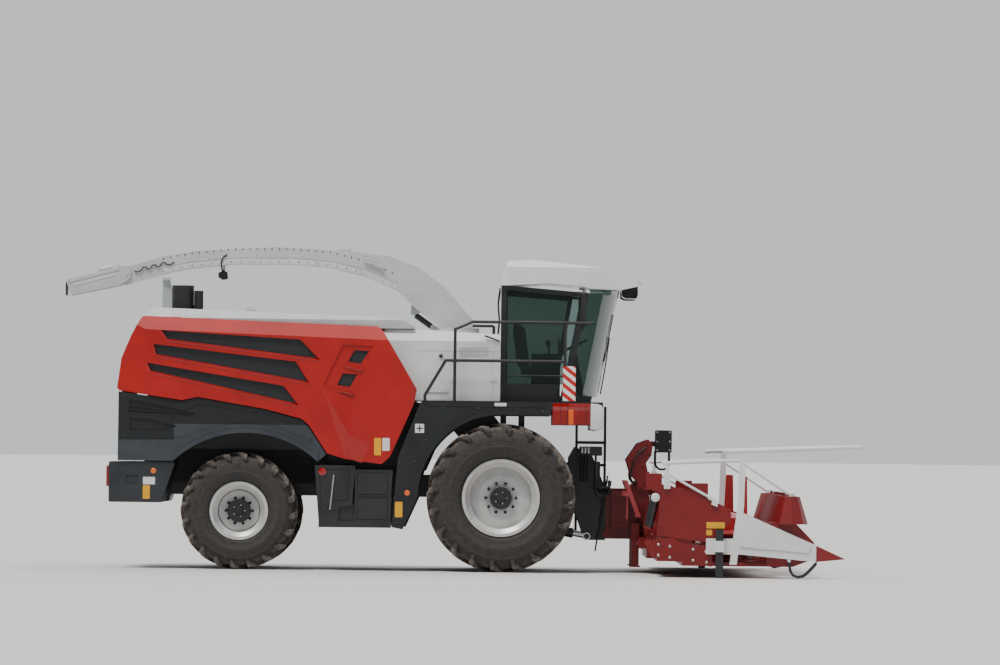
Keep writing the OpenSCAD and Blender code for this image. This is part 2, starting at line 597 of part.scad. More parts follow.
// cab
pillar_x = 745;
function leaned(x, z) = x * cos(screen_lean) + (z - 2200 + x * sin(screen_lean)) * tan(screen_lean);
module side_glass_outline() {
  g = seat_gap;
  polygon([[50 + g, 2453 + g], [50 + g, 3679 + g], [leaned(pillar_x, 3594) - g, 3594],
    [leaned(pillar_x, 2453) - g, 2453 + g]]);
}
module screen_band(out, t) {
  // plan of the wraparound windscreen: straight cheeks and a curved front
  difference() {
    offset(out) screen_plan();
    offset(out - t) screen_plan();
    translate([-2000, -2000]) square([2000 + pillar_x + 85 + 2, 4000]);
  }
}
module screen_plan() {
  intersection() {
    translate([-600, -cab_half_w]) square([2400, 2 * cab_half_w]);
    translate([-700, 0]) circle(r = 1920, $fn = 128);
  }
}
module lean() { translate([0, 0, 2200]) rotate([0, screen_lean, 0]) translate([0, 0, -2200]) children(); }
module cab_frame() at_origin() {
  color("#222326") {
    flat(-cab_half_w, cab_half_w) polygon([[-25, cab_z], [-25, 2300], [1180, 2300], [1160, cab_z]]);
    block([-25, -cab_half_w, 2299], [25, cab_half_w, 2480]);
    both() {
      block([-25, cab_half_w - 80, 2299], [50, cab_half_w, 3738]);
      lean() plan(2150, 3836) translate([pillar_x, cab_half_w - 75]) square([85, 75]);
      flat(cab_half_w - cab_t, cab_half_w) polygon([[49, 3738], [1000, 3660], [985, 3600], [49, 3680]]);
    }
    right() flat(cab_half_w - cab_t, cab_half_w) polygon([[49, 2299], [49, 2453], [760, 2453], [735, 2299]]);
    block([-25, -cab_half_w, 3690], [50, cab_half_w, 3738]);
    for (z = door_hinge_zs) {
      for (e = [-50, 36]) block([-24, cab_half_w - 10, z + e], [0, cab_half_w + door_pin.y + 16, z + e + 14]);
      pin_z(door_pin.x, cab_half_w + door_pin.y, z - 50, z + 50, door_pin_r);
    }
    // rail outside the right window and the bar in front of the windscreen
    right() {
      rod([10, cab_half_w + 34, 2560], [880, cab_half_w + 34, 2560], 22);
      for (x = [20, 870]) pin_y(x, 2560, cab_half_w - 1, cab_half_w + 34, 8);
    }
    flat(-cab_half_w + 74, cab_half_w - 74) polygon([[1000, 3590], [1000, 3660], [1075, 3660], [1075, 3590]]);
  }
}
module cab_roof() at_origin() {
  color("#e4e6e5") intersection() {
    flat(-roof_half_w, roof_half_w) soft(18) polygon([
      [-25, 3738 + seat_gap], [-25, 3800], [-4, 3940], [61, 4060], [400, 4075], [1656, 3940], [1667, 3863], [1807, 3790],
      [1800, 3750], [1548, 3695], [1161, 3705], [1009, 3736], [558, 3770], [83, 3738 + seat_gap]
    ]);
    plan(3600, 4200) offset(120) translate([95, 120 - roof_half_w]) square([1600, 2 * roof_half_w - 240]);
    across(-100, 2000) polygon([[-roof_half_w, 3600], [-roof_half_w, 3980], [-roof_half_w + 130, 4080],
      [roof_half_w - 130, 4080], [roof_half_w, 3980], [roof_half_w, 3600]]);
  }
}
module cab_glass() at_origin() {
  color("#4a5a5e") {
    intersection() {
      lean() plan(2150, 3960) screen_band(0, glass_t);
      block([0, -1000, 2300 + seat_gap], [2000, 1000, 3690]);
    }
    right() flat(cab_half_w - 30, cab_half_w - 30 + glass_t) side_glass_outline();
    block([0, -cab_half_w + 80, 2480], [glass_t, cab_half_w - 80, 3690]);
  }
}
door_pin = [-8, 35];
door_pin_r = 8;
door_hinge_zs = [2600, 3400];
module door_frame() at_origin() {
  y = cab_half_w + door_pin.y;
  color("#222326") {
    difference() {
      flat(cab_half_w + seat_gap, cab_half_w + 30) polygon([[5, 2330], [5, 3700], [930, 3630], [715, 2330]]);
      flat(cab_half_w - 1, cab_half_w + 31) polygon([[65, 2450], [65, 3635], [860, 3575], [672, 2450]]);
      for (z = door_hinge_zs) block([-10, cab_half_w - 20, z - 58], [30, cab_half_w + 60, z + 58]);
    }
    for (z = door_hinge_zs) difference() {
      union() {
        pin_z(door_pin.x, y, z - 35, z + 35, 14);
        block([door_pin.x, y - 22, z - 35], [36, y - 6, z + 35]);
      }
      pin_z(door_pin.x, y, z - 36, z + 36, door_pin_r + fit);
    }
    // grab handle on the outer side
    for (z = [2800, 3060]) block([740, cab_half_w + 29, z], [765, cab_half_w + 62, z + 24]);
    block([740, cab_half_w + 50, 2800], [765, cab_half_w + 64, 3084]);
  }
}
module door_glass() at_origin() {
  color("#4a5a5e") flat(cab_half_w + 6, cab_half_w + 6 + glass_t)
    polygon([[66, 2451], [66, 3634], [859, 3574], [671, 2451]]);
}
module seat() at_origin() {
  color("#2b2c2f") {
    block([250, -250, 2560], [750, 250, 2700]);
    flat(-240, 240) polygon([[230, 2660], [110, 3250], [210, 3280], [350, 2690]]);
    block([400, -120, 2300 + seat_gap], [600, 120, 2561]);
  }
}
module console() at_origin() {
  color("#1c1d1f") {
    flat(-60, 60) polygon([[1000, 2300 + seat_gap], [1090, 2300 + seat_gap], [960, 2960], [900, 2940]]);
    translate([930, 0, 2960]) rotate([0, -25, 0]) rotate_extrude($fn = 64) translate([200, 0]) circle(r = 16);
    translate([930, 0, 2960]) rotate([0, -25, 0]) {
      for (a = [0, 120, 240]) rotate([0, 0, a]) translate([0, -14, -8]) cube([200, 28, 16]);
      cylinder(r = 45, h = 30, center = true);
    }
    right() block([380, 270, 2300 + seat_gap], [760, 400, 2860]);
  }
}

// red side panels that lift like wings
module panel_outline() {
  soft(45) polygon([
    [-4683, 3279], [-1624, 3173], [-1553, 3118], [-1105, 2361], [-1140, 2178], [-1440, 1490],
    [-1553, 1385], [-2033, 1450], [-2260, 1517], [-2500, 1881], [-2596, 1964], [-3076, 2085],
    [-3949, 2231], [-4147, 2186], [-4965, 2304], [-5006, 2331], [-4950, 2726], [-4823, 3024]
  ]);
}
module panel_section() {
  polygon([[-100, 800], [body_half_w, 800], [body_half_w, shoulder_z], [body_half_w - 172, shoulder_z + 200],
    [body_half_w - 260, shoulder_z + 330], [-100, shoulder_z + 330]]);
}
module panel_plan() {
  polygon([[-5300, -100], [-5300, body_half_w - 300], [-4990, body_half_w - 155], [-4640, body_half_w], [-1190, body_half_w],
    [-1060, body_half_w - 60], [-900, -100]]);
}
module tilted_across(x0, x1) {
  translate([-3150, 0, 0]) rotate([0, hinge_slope, 0]) translate([3150, 0, 0]) across(x0, x1) children();
}
module panel_shell() {
  difference() {
    intersection() {
      flat(0, body_half_w + 10) panel_outline();
      tilted_across(-5200, -900) panel_section();
      plan(900, 3500) panel_plan();
      block([-5200, deck_half_w + 15, 1000], [-900, 2000, 3400]);
    }
    intersection() {
      tilted_across(-5300, -800) offset(delta = -panel_t) panel_section();
      plan(900, 3500) offset(delta = -panel_t) panel_plan();
    }
  }
}
// long recesses: upper rear, upper front, tip and lower rear corner of each
slots = [
  [[-4438, 3092], [-2618, 2990], [-2358, 2720], [-4342, 2957]],
  [[-4534, 2913], [-2673, 2703], [-2495, 2417], [-4493, 2758]],
  [[-4612, 2668], [-2826, 2386], [-2631, 2128], [-4562, 2544]]
];
// openings of the slanted recess and the bright ledges under them
scoops = [
  [[-1920, 2862], [-1729, 2852], [-1838, 2685], [-2002, 2711]],
  [[-2072, 2559], [-1880, 2547], [-1975, 2382], [-2140, 2407]]
];
ledges = [[[-2050, 2660], [-1810, 2600]], [[-2165, 2342], [-1925, 2296]]];
// a three-sided bar along a face of the panel, from a to b, each as X, Z
module lip(a, b, high, proud) {
  v = b - a;
  translate([a.x, body_half_w, a.y]) rotate([0, -atan2(v.y, v.x), 0]) across(0, norm(v))
    polygon([[-slot_depth - 2, high], [proud, 4], [2, -18], [-slot_depth - 2, -18]]);
}
module ridge() {
  edge = [[-2332, 2379], [-1893, 2109], [-1702, 1645], [-1799, 1399], [-2029, 1464]];
  hull() {
    flat(body_half_w - 20, body_half_w - 1) polygon(edge);
    flat(body_half_w - 20, body_half_w + 48) polygon([[-1966, 1742], [-1958, 1742], [-1960, 1734]]);
  }
}
module side_panel_left() at_origin() {
  color("#b5201a") for (x = hinge_xs) difference() {
    union() {
      along_hinge(x, 66, 17);
      block([x - 33, hinge_y + 11, hinge_z(x) - 14], [x + 33, body_half_w - 156, hinge_z(x)]);
    }
    along_hinge(x, 68, hinge_pin_r + fit);
  }
  color("#b5201a") {
    difference() {
      panel_shell();
      for (x = hinge_xs) block([x - 66, 1200, hinge_z(x) - 32], [x + 66, hinge_y + 34, 3400]);
      for (slot = slots) flat(body_half_w - slot_depth, body_half_w + 40) polygon(slot);
      flat(body_half_w - 18, body_half_w + 40) polygon([[-2072, 2931], [-1687, 2919], [-1934, 2218], [-2319, 2406]]);
      for (scoop = scoops) flat(body_half_w - slot_depth, body_half_w + 40) polygon(scoop);
    }
    for (slot = slots) {
      lip(slot[3], slot[2], 24, 12);
      lip(slot[0], slot[3], 12, 6);
    }
    for (ledge = ledges) lip(ledge[0], ledge[1], 16, 10);
    ridge();
  }
}
module side_panel_right() { right() side_panel_left(); }

// discharge spout
lift_x = -470;
lift_z = 3235;
tip_x = -5000;
tip_z = 3800;
// upper and lower edges of the arm, each as X, Z
arm_top = [[-400, 3290], [-500, 3412], [-763, 3715], [-1113, 3973], [-1507, 4122], [-2033, 4182],
  [-2974, 4225], [-4055, 4161], [-4464, 4088], [-4970, 3938]];
arm_low = [[-4985, 3700], [-4480, 3853], [-4132, 3925], [-3565, 3989], [-2798, 3997], [-2273, 3960],
  [-1836, 3856], [-1398, 3675], [-1135, 3427], [-829, 3205]];
arm_in_top = [[-390, 3270], [-520, 3402], [-775, 3700], [-1119, 3958], [-1507, 4107], [-2033, 4167],
  [-2974, 4210], [-4055, 4146], [-4464, 4073], [-5100, 3920]];
arm_in_low = [[-5100, 3680], [-4480, 3868], [-4132, 3940], [-3565, 4004], [-2798, 4012], [-2273, 3975],
  [-1836, 3871], [-1389, 3688], [-1125, 3440], [-800, 3190]];
// lower edge of the arm's sides between its ends, and the line of the flange on them
function arm_lower(x) = lookup(x, [for (q = arm_low) [q.x, q.y]]);
flange_line = [for (q = arm_low) if (q.x > -4700 && q.x < -1200) q + [0, 90]];
module spout_turret() at_origin() {
  color("#c4c7c8") {
    difference() {
      pin_z(slew_x, 0, 3160 + seat_gap, 3185, turntable_r);
      pin_z(slew_x, 0, 3100, 3200, 150);
    }
    both() flat(spout_half_w + 4, spout_half_w + 24) polygon([[-860, 3184], [-860, 3240], [-540, 3260],
      [-500, 3290], [-430, 3290], [-400, 3235], [-400, 3184]]);
    both() flat(lug_y, lug_y + 14) polygon([[-840, 3160 + seat_gap], [-840, 3184], [-905, 3222],
      [-950, 3222], [-960, 3180], [-930, 3162], [-760, 3160 + seat_gap]]);
    pin_y(lift_x, lift_z, -spout_half_w - 24, -spout_half_w + 16, 24);
    pin_y(lift_x, lift_z, spout_half_w - 16, spout_half_w + 24, 24);
    pin_y(cyl_base.x, cyl_base.z, -lug_y - 13, lug_y + 13, cyl_pin_r);
  }
}
cyl_base = [-930, 0, 3196];
cyl_eye = [-1190, 0, 3380];
cyl_pin_r = 16;
lug_y = lift_barrel_r + 2;
tongue_half_w = lug_y - seat_gap;
module spout_arm() at_origin() {
  color("#c4c7c8") {
    difference() {
      flat(-spout_half_w, spout_half_w) polygon(concat(arm_top, arm_low));
      flat(-spout_half_w + spout_t, spout_half_w - spout_t) polygon(concat(arm_in_top, arm_in_low));
      pin_y(lift_x, lift_z, -spout_half_w - 1, spout_half_w + 1, 24 + fit);
    }
    both() difference() {
      flat(spout_half_w - spout_t, spout_half_w)
        polygon([[-540, 3320], [-410, 3330], [-440, 3204], [-520, 3204]]);
      pin_y(lift_x, lift_z, 0, spout_half_w + 1, 24 + fit);
    }
    both() {
      pin_y(flap_x, flap_z, spout_half_w - spout_t + 1, spout_half_w + 38, flap_pin_r);
      pin_y(flap_x, flap_z, spout_half_w - 1, spout_half_w + 5, 26);
      pin_y(flap_x, flap_z, spout_half_w + 30 + seat_gap, spout_half_w + 40, 22);
      flat(spout_half_w - 1, spout_half_w + 9) polygon(concat([for (q = flange_line) q + [0, 16]],
        [for (i = [len(flange_line) - 1:-1:0]) flange_line[i]]));
      for (x = [-4300, -3300, -2500, -1900]) flat(spout_half_w - 1, spout_half_w + 6)
        polygon([[x, arm_lower(x) + 10], [x + 46, arm_lower(x + 46) + 10], [x + 46, arm_lower(x + 46) + 150], [x, arm_lower(x) + 150]]);
    }
    block([-2189, -60, 4150], [-2007, 60, 4214]);
    // grab loop on the near side
    right() {
      flat(spout_half_w + 30, spout_half_w + 48) difference() {
        soft(28) polygon([[-1850, 4116], [-1690, 4080], [-1560, 3990], [-1590, 3950], [-1720, 4010], [-1840, 4040]]);
        soft(12) polygon([[-1828, 4092], [-1700, 4060], [-1590, 3986], [-1600, 3974], [-1712, 4034], [-1828, 4062]]);
      }
      for (q = [[-1838, 4060], [-1590, 3966]]) pin_y(q.x, q.y, spout_half_w - 2, spout_half_w + 34, 10);
    }
    // work lamp under the arm
    block([-3720, -14, 3880], [-3670, 14, 3990]);
    flat(-70, 70) soft(14) polygon([[-3750, 3890], [-3640, 3900], [-3632, 3800], [-3700, 3786], [-3754, 3820]]);
    both() flat(lug_y, lug_y + 14) polygon([[cyl_eye.x - 26, cyl_eye.z - 20], [cyl_eye.x + 18, cyl_eye.z - 26],
      [cyl_eye.x + 110, cyl_eye.z + 10], [cyl_eye.x + 60, cyl_eye.z + 60], [cyl_eye.x - 20, cyl_eye.z + 110]]);
  }
}
module spout_deflector() at_origin() {
  w = spout_half_w;
  color("#c4c7c8") {
    difference() {
      union() {
        flat(-w - 30, w + 30) polygon([[-4905, 3900], [-4950, 3958], [-5030, 3950], [-5760, 3762],
          [-5690, 3560], [-5040, 3700], [-4950, 3765], [-4905, 3800]]);
        both() flat(w + 29, w + 38) polygon([[-5060, 3930], [-5730, 3750], [-5722, 3726], [-5060, 3900]]);
      }
      flat(-w - 6, w + 6) polygon([[-4900, 3945], [-5030, 3942], [-5740, 3755], [-5720, 3450], [-4900, 3600]]);
      block([-4988, -w - 6, 3500], [-4800, w + 6, 4100]);
      pin_y(flap_x, flap_z, -w - 60, w + 60, flap_pin_r + fit);
    }
    // cylinder of the end flap, between two lugs
    for (x = [-5360, -5090]) flat(-24, 24) polygon([[x, deflector_top(x) - 12], [x, deflector_top(x) + 58],
      [x + 34, deflector_top(x + 34) + 58], [x + 34, deflector_top(x + 34) - 12]]);
    rod([-5330, 0, deflector_top(-5330) + 34], [-5170, 0, deflector_top(-5170) + 34], 50);
    rod([-5180, 0, deflector_top(-5180) + 34], [-5075, 0, deflector_top(-5075) + 34], 24);
  }
}
flap_x = -4955;
flap_z = 3850;
flap_pin_r = 14;
function deflector_top(x) = 3950 + (x + 5030) * 188 / 730;
module spout_barrel() at_origin() {
  v = cyl_eye - cyl_base;
  color("#303236") difference() {
    union() {
      rod(cyl_base + v * 0.05, cyl_base + v * 0.85, 2 * lift_barrel_r);
      pin_y(cyl_base.x, cyl_base.z, -tongue_half_w, tongue_half_w, 32);
    }
    rod(cyl_base + v * 0.11, cyl_base + v * 0.9, 2 * lift_rod_r + 2 * fit);
    pin_y(cyl_base.x, cyl_base.z, -tongue_half_w - 1, tongue_half_w + 1, cyl_pin_r + fit);
  }
}
module spout_rod() at_origin() {
  v = cyl_eye - cyl_base;
  color("#c9ccce") {
    rod(cyl_base + v * 0.13, cyl_eye, 2 * lift_rod_r);
    pin_y(cyl_eye.x, cyl_eye.z, -tongue_half_w, tongue_half_w, 26);
  }
}

// feeder house and its lift cylinders
ram_y = 500;
ram_base = [330, 0, 620];
ram_eye = [1130, 0, 470];
// a hose that hangs in a half circle of radius r below two upright ends, seen along Y
module hanging_hose(x, y, z, r, d, left, right) {
  translate([x, y, z]) rotate([90, 180, 0]) rotate_extrude(angle = 180) translate([r, 0]) circle(d = d, $fn = 24);
  translate([x - r, y, z]) cylinder(d = d, h = left, $fn = 24);
  translate([x + r, y, z]) cylinder(d = d, h = right, $fn = 24);
}
module feeder_house() at_origin() {
  color("#1f2022") {
    difference() {
      flat(-400, 400) polygon([[880, 900], [1180, 420], [1373, 420], [1373, 1100], [1180, 1560],
        [957, 1640], [880, 1500]]);
      block([870, -320, 560], [1380, 320, 980]);
      for (y = [-401, 385]) flat(y, y + 16) polygon([[1010, 1240], [1250, 1240], [1170, 1460], [1010, 1500]]);
    }
    both() {
      difference() {
        flat(405, 440) polygon([[470, 1080], [470, 1270], [900, 1450], [1300, 1450], [1300, 420],
          [1100, 420], [900, 1000]]);
        pin_y(feeder_x, feeder_z, 400, 441, 60 + fit);
      }
      block([900, 399, 1100], [1290, 406, 1440]);
      pin_y(ram_eye.x, ram_eye.z, 439, ram_y + 45, 25);
      pin_y(ram_eye.x, ram_eye.z, ram_y + 38, ram_y + 52, 36);
    }
    // quick coupler with its hoses and latch rod on the near side
    flat(-610, -300) soft(14) polygon([[1022, 1647], [1321, 1647], [1321, 1525], [1022, 1525]]);
    flat(-440, -320) polygon([[1030, 1530], [1160, 1530], [1160, 1400], [1030, 1400]]);
    for (y = [-590, -545, -500]) hanging_hose(1330, y, 1092 + (y + 590) * 0.6, 92, 30, 440, 60);
    block([1398, -606, 1131], [1446, -484, 1200]);
    block([1290, -606, 1104], [1432, -440, 1132]);
    for (z = [450, 960]) pin_y(1243 + (z - 278) * 0.157, z, -474, -400, 16);
    rod([1243, -474, 278], [1399, -474, 1268], 22);
  }
}
module ram_barrels() at_origin() {
  color("#303236") both() translate([0, ram_y, 0]) {
    v = ram_eye - ram_base;
    difference() {
      union() {
        rod(ram_base + v * 0.04, ram_base + v * 0.78, 2 * ram_barrel_r);
        pin_y(ram_base.x, ram_base.z, -ram_barrel_r, ram_barrel_r, 55);
      }
      rod(ram_base + v * 0.1, ram_base + v * 0.8, 2 * ram_rod_r + 2 * fit);
      pin_y(ram_base.x, ram_base.z, -ram_barrel_r - 1, ram_barrel_r + 1, 28 + fit);
    }
  }
}
module ram_rods() at_origin() {
  v = ram_eye - ram_base;
  color("#c9ccce") both() translate([0, ram_y, 0]) difference() {
    union() {
      rod(ram_base + v * 0.12, ram_base + v * 0.97, 2 * ram_rod_r);
      pin_y(ram_eye.x, ram_eye.z, -30, 30, 48);
    }
    pin_y(ram_eye.x, ram_eye.z, -ram_rod_r - 1, ram_rod_r + 1, 29);
  }
}

// header
stand_x = 2769;
module snout(y) {
  flat(y - 90, y + 90) polygon([[3370, 150], [3700, 150], [3960, 250], [3971, 460], [3700, 736],
    [3353, 700], [3353, 300]]);
  block([3090, y - 40, 150], [3380, y + 40, 190]);
  translate([3676, y, 690]) cylinder(r1 = 215, r2 = 110, h = 350, $fn = 8);
  pin_z(3676, y, 1039, 1075, 20);
}
module trough(y0, y1) {
  flat(y0, y1) polygon([[1980, 205], [2420, 205], [2420, 330], [2200, 500], [1980, 500]]);
}
module header_centre() at_origin() {
  h = centre_w / 2;
  color("#8f1c18") {
    trough(-h, h);
    flat(-h, h) polygon([[1940, 300], [1960, 300], [1960, 900], [1940, 900]]);
    for (y = [-1100, -700, 700, 1100]) flat(y - 10, y + 10)
      polygon([[1941, 870], [1905, 870], [1860, 640], [1905, 300], [1941, 300]]);
    difference() {
      union() {
        block([1373 + seat_gap, -460, 440], [1941, 460, 1100]);
        flat(-460, 460) polygon([[1640, 1090], [1941, 1090], [1941, 1240], [1800, 1240]]);
        both() flat(459, 560) polygon([[1451, 595], [1672, 595], [1672, 1076], [1451, 1076]]);
      }
      block([1300, -320, 560], [2100, 320, 980]);
      both() flat(530, 570) polygon([[1480, 640], [1640, 640], [1640, 1030], [1480, 1030]]);
    }
    block([1900, -h, 205], [1981, h, 480]);
    block([2300, -h, 150], [rotor_x + 120, h, 200]);
    block([2300, -h, 190], [2320, h, 230]);
    for (y = [-small_pitch, 0, small_pitch, -1410, 1410]) snout(y);
    both() for (x = [1985, 2165]) difference() {
      block([x, wing_hinge_y - 50, 440], [x + 40, wing_hinge_y + 50, wing_hinge_z + 50]);
      translate([x - 1, wing_hinge_y, wing_hinge_z]) rotate([0, 90, 0]) cylinder(r = wing_pin_r + fit, h = 42);
    }
    both() {
      // mast of the fold linkage
      flat(480, 505) soft(16) polygon([[1638, 1481], [1784, 1696], [1929, 1751], [1983, 1672], [1970, 1540],
        [1900, 1440], [1941, 1240], [1941, 1080], [1790, 1080], [1784, 1196], [1700, 1280]]);
      block([1790, 459, 1090], [1930, 481, 1230]);
      // rear leg, lower strut and slanted arm
      block([1711, 560, 75], [1815, 640, 647]);
      block([1690, 545, 75], [1836, 655, 95]);
      block([1740, 459, 500], [1800, 600, 600]);
      flat(462, 500) polygon([[1334, 455], [1334, 525], [1460, 610], [1660, 610], [1660, 540]]);
      flat(562, 600) polygon([[1600, 1206], [1660, 1206], [1840, 727], [1780, 727]]);
      block([1480, 559, 1000], [1680, 601, 1060]);
      block([1760, 459, 727], [1830, 601, 780]);
      // shaft to a wing's gears
      translate([1820, 640, 400]) turned() cylinder(r = 45, h = 600);
      for (y = [650, 1200]) block([1800, y, 330], [1905, y + 40, 470]);
    }
    // cross tube of the mast, and the valve block it carries
    pin_y(1930, 1690, -481, 481, 34);
    block([1940, -60, 1655], [2030, 60, 1725]);
    flat(-130, 130) soft(18) polygon([[2023, 1577], [2244, 1577], [2244, 1871], [2023, 1871]]);
    for (y = [-95, 95]) hanging_hose(2120, y, 1446, 92, 28, 140, 140);
    for (y = [-95, 95]) block([2016, y - 16, 1560], [2044, y + 16, 1600]);
  }
}
module wing_left() at_origin() {
  h = centre_w / 2 + 10;
  e = header_w / 2 - 130;
  color("#8f1c18") {
    trough(h, e);
    flat(h, e) polygon([[2000, 490], [2020, 490], [2020, 1000], [2000, 1000]]);
    for (y = [inner_y, outer_y]) flat(y - 10, y + 10)
      polygon([[2001, 980], [1960, 980], [1925, 700], [1980, 400], [2001, 480]]);
    block([2300, h, 150], [rotor_x + 120, e, 200]);
    block([2300, h, 190], [2320, e, 230]);
    snout((inner_y + outer_y) / 2);
    snout(e - 100);
    // end panel with the box under it
    flat(e - 20, e) polygon([[2088, 1146], [2308, 1135], [2914, 871], [2908, 692], [2618, 447], [1972, 530], [2036, 1099]]);
    flat(e - 28, e - 19) polygon([[2150, 1060], [2300, 1050], [2780, 850], [2780, 740], [2560, 560], [2100, 620]]);
    difference() {
      flat(e - 160, e) soft(14) polygon([[1823, 448], [1863, 476], [2673, 392], [2686, 140], [1929, 251]]);
      pin_z(rotor_x, outer_y, 120, 500, large_rotor_r + rotor_gap);
    }
    block([1985, e - 160, 380], [2420, e - 19, 560]);
    // drive head and valve boxes at the end
    flat(e - 64, e - 19) polygon([[2000, 990], [2100, 990], [2100, 1120], [2036, 1180], [1900, 1180], [1900, 1110], [2000, 1060]]);
    flat(e - 150, e - 30) soft(12) polygon([[1837, 1110], [1837, 1313], [2036, 1313], [2036, 1110]]);
    flat(e - 150, e - 10) soft(12) polygon([[2393, 1020], [2393, 1196], [2620, 1196], [2620, 1000]]);
    flat(e - 60, e - 19) polygon([[2393, 1030], [2620, 1010], [2620, 900], [2393, 960]]);
    rod([1968, e - 90, 1060], [1863, e - 90, 611], 120);
    block([1850, e - 120, 640], [2005, e - 60, 700]);
    pin_y(1955, 1009, e - 90, e + 4, 53);
    block([2027, wing_hinge_y - 45, wing_hinge_z - 45], [2163, h + 60, wing_hinge_z + 45]);
    block([2010, h, 480], [2163, h + 60, wing_hinge_z + 45]);
    translate([1975, wing_hinge_y, wing_hinge_z]) rotate([0, 90, 0]) cylinder(r = wing_pin_r, h = 250);
  }
}
module wing_right() { right() wing_left(); }
brace_x = 3676;
module divider_left() at_origin() {
  e = header_w / 2 - 130 + seat_gap;
  color("#dcdedd") {
    flat(e, e + 40) polygon([[3010, 851], [3952, 444], [4364, 255], [3993, 217], [2962, 308]]);
    flat(e + 39, e + 54) polygon([[3060, 790], [3930, 414], [3900, 330], [3030, 400]]);
    flat(e, e + 40) polygon([[2897, 170], [2990, 170], [3075, 911], [3095, 1590], [3015, 1590], [2995, 911]]);
    flat(e, e + 40) polygon([[2600, 300], [3000, 300], [3000, 500], [2600, 500]]);
    rod([2797, e + 20, 1598], [4557, e + 20, 1674], 57);
    // handrail from the end panel and its brace
    rod([2100, e + 20, 1150], [2100, e + 20, 1446], 44);
    rod([2036, e + 20, 1444], [3050, e + 20, 1490], 44);
    rod([2127, e + 20, 1300], [2700, e + 20, 985], 32);
    flat(e, e + 40) soft(8) polygon([[2060, 1120], [2140, 1120], [2140, 1320], [2060, 1320]]);
    flat(e, e + 40) polygon([[2660, 930], [2740, 900], [2740, 990], [2690, 1020]]);
    // diagonal to the top of the end cone
    difference() {
      union() {
        rod([3086, e + 20, 1436], [brace_x - 26, e - 86, 1064], 34);
        pin_z(brace_x, e - seat_gap - 100, 1040 + seat_gap, 1080, 40);
      }
      pin_z(brace_x, e - seat_gap - 100, 1030, 1120, 20 + seat_gap);
    }
    difference() {
      block([stand_x - 60, e + 39, 330], [stand_x + 60, e + 120, 470]);
      block([stand_x - 48 - seat_gap, e + 44, 300], [stand_x + 48 + seat_gap, e + 106, 500]);
    }
    // skid under the tip
    flat(e + 4, e + 36) polygon([[3630, 262], [3649, 102], [3690, 34], [3760, 4], [3840, 18], [3920, 84], [4007, 182],
      [4000, 236], [3970, 200], [3892, 116], [3824, 54], [3760, 40], [3712, 62], [3682, 116], [3668, 256]]);
  }
}
module divider_right() { right() divider_left(); }
module stand_left() at_origin() {
  y = header_w / 2 - 130 + 44 + 2 * seat_gap;
  color("#232427") block([stand_x - 48, y, 0], [stand_x + 48, y + 60, 621]);
}
module stand_right() { right() stand_left(); }
small_pitch = centre_w / 4;
rotor_gap = 8;
outer_y = header_w / 2 - 650;
inner_y = outer_y - 1085;
rotor_ys = [-outer_y, -inner_y, -1.5 * small_pitch, -0.5 * small_pitch, 0.5 * small_pitch,
  1.5 * small_pitch, inner_y, outer_y];
module rotor(n) {
  y = rotor_ys[n - 1];
  r = n < 3 || n > 6 ? large_rotor_r : small_rotor_r;
  teeth = r > 400 ? 24 : 18;
  top = r > 400 ? 760 : 700;
  color("#a8201a") translate([rotor_x, y, 0]) {
    if (r > 400) flat(-8, 8) polygon([[60, 640], [250, 700], [250, 760], [160, 800], [150, 1285], [90, 1285]]);
    rotate_extrude() polygon([[0, 200 + seat_gap], [r * 0.5, 200 + seat_gap], [r * 0.5, 560], [r * 0.36, 600],
      [r * 0.3, top], [0, top + 60]]);
    for (t = [[knife_z, 1], [340, 0.96], [450, 0.94], [540, 0.9]])
      translate([0, 0, t.x]) linear_extrude(disc_t) polygon([for (i = [0:teeth - 1], k = [0:1])
        (k == 0 ? r * t.y : r * t.y - 70) * [cos(360 * (i + k / 2) / teeth), sin(360 * (i + k / 2) / teeth)]]);
  }
}
module at_origin() { translate([axle_x, 0, 0]) children(); }

module rotor_1() at_origin() { rotor(1); }
module rotor_2() at_origin() { rotor(2); }
module rotor_3() at_origin() { rotor(3); }
module rotor_4() at_origin() { rotor(4); }
module rotor_5() at_origin() { rotor(5); }
module rotor_6() at_origin() { rotor(6); }
module rotor_7() at_origin() { rotor(7); }
module rotor_8() at_origin() { rotor(8); }

frame();
front_axle();
rear_axle();
engine();
chopper_housing();
white_housing();
hood_deck();
rear_grille();
rear_skirts();
rear_box();
side_boxes();
fenders();
ladder();
rails();
lamps();
air_cleaner();
spout_rest();
cab_frame();
cab_roof();
cab_glass();
seat();
console();
side_panel_right();
side_panel_left();
door_frame();
door_glass();
knuckle_right();
knuckle_left();
tie_rod();
front_tyre_right();
front_tyre_left();
front_rim_right();
front_rim_left();
rear_tyre_right();
rear_tyre_left();
rear_rim_right();
rear_rim_left();
spout_turret();
spout_arm();
spout_deflector();
spout_barrel();
spout_rod();
feeder_house();
ram_barrels();
ram_rods();
header_centre();
wing_right();
wing_left();
divider_right();
divider_left();
stand_right();
stand_left();
rotor_1();
rotor_2();
rotor_3();
rotor_4();
rotor_5();
rotor_6();
rotor_7();
rotor_8();
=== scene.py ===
"""Looks of a self-propelled forage harvester with a folding rotary maize header."""

import math
from contextlib import contextmanager

import bmesh
import bpy
from mathutils import Matrix, Vector

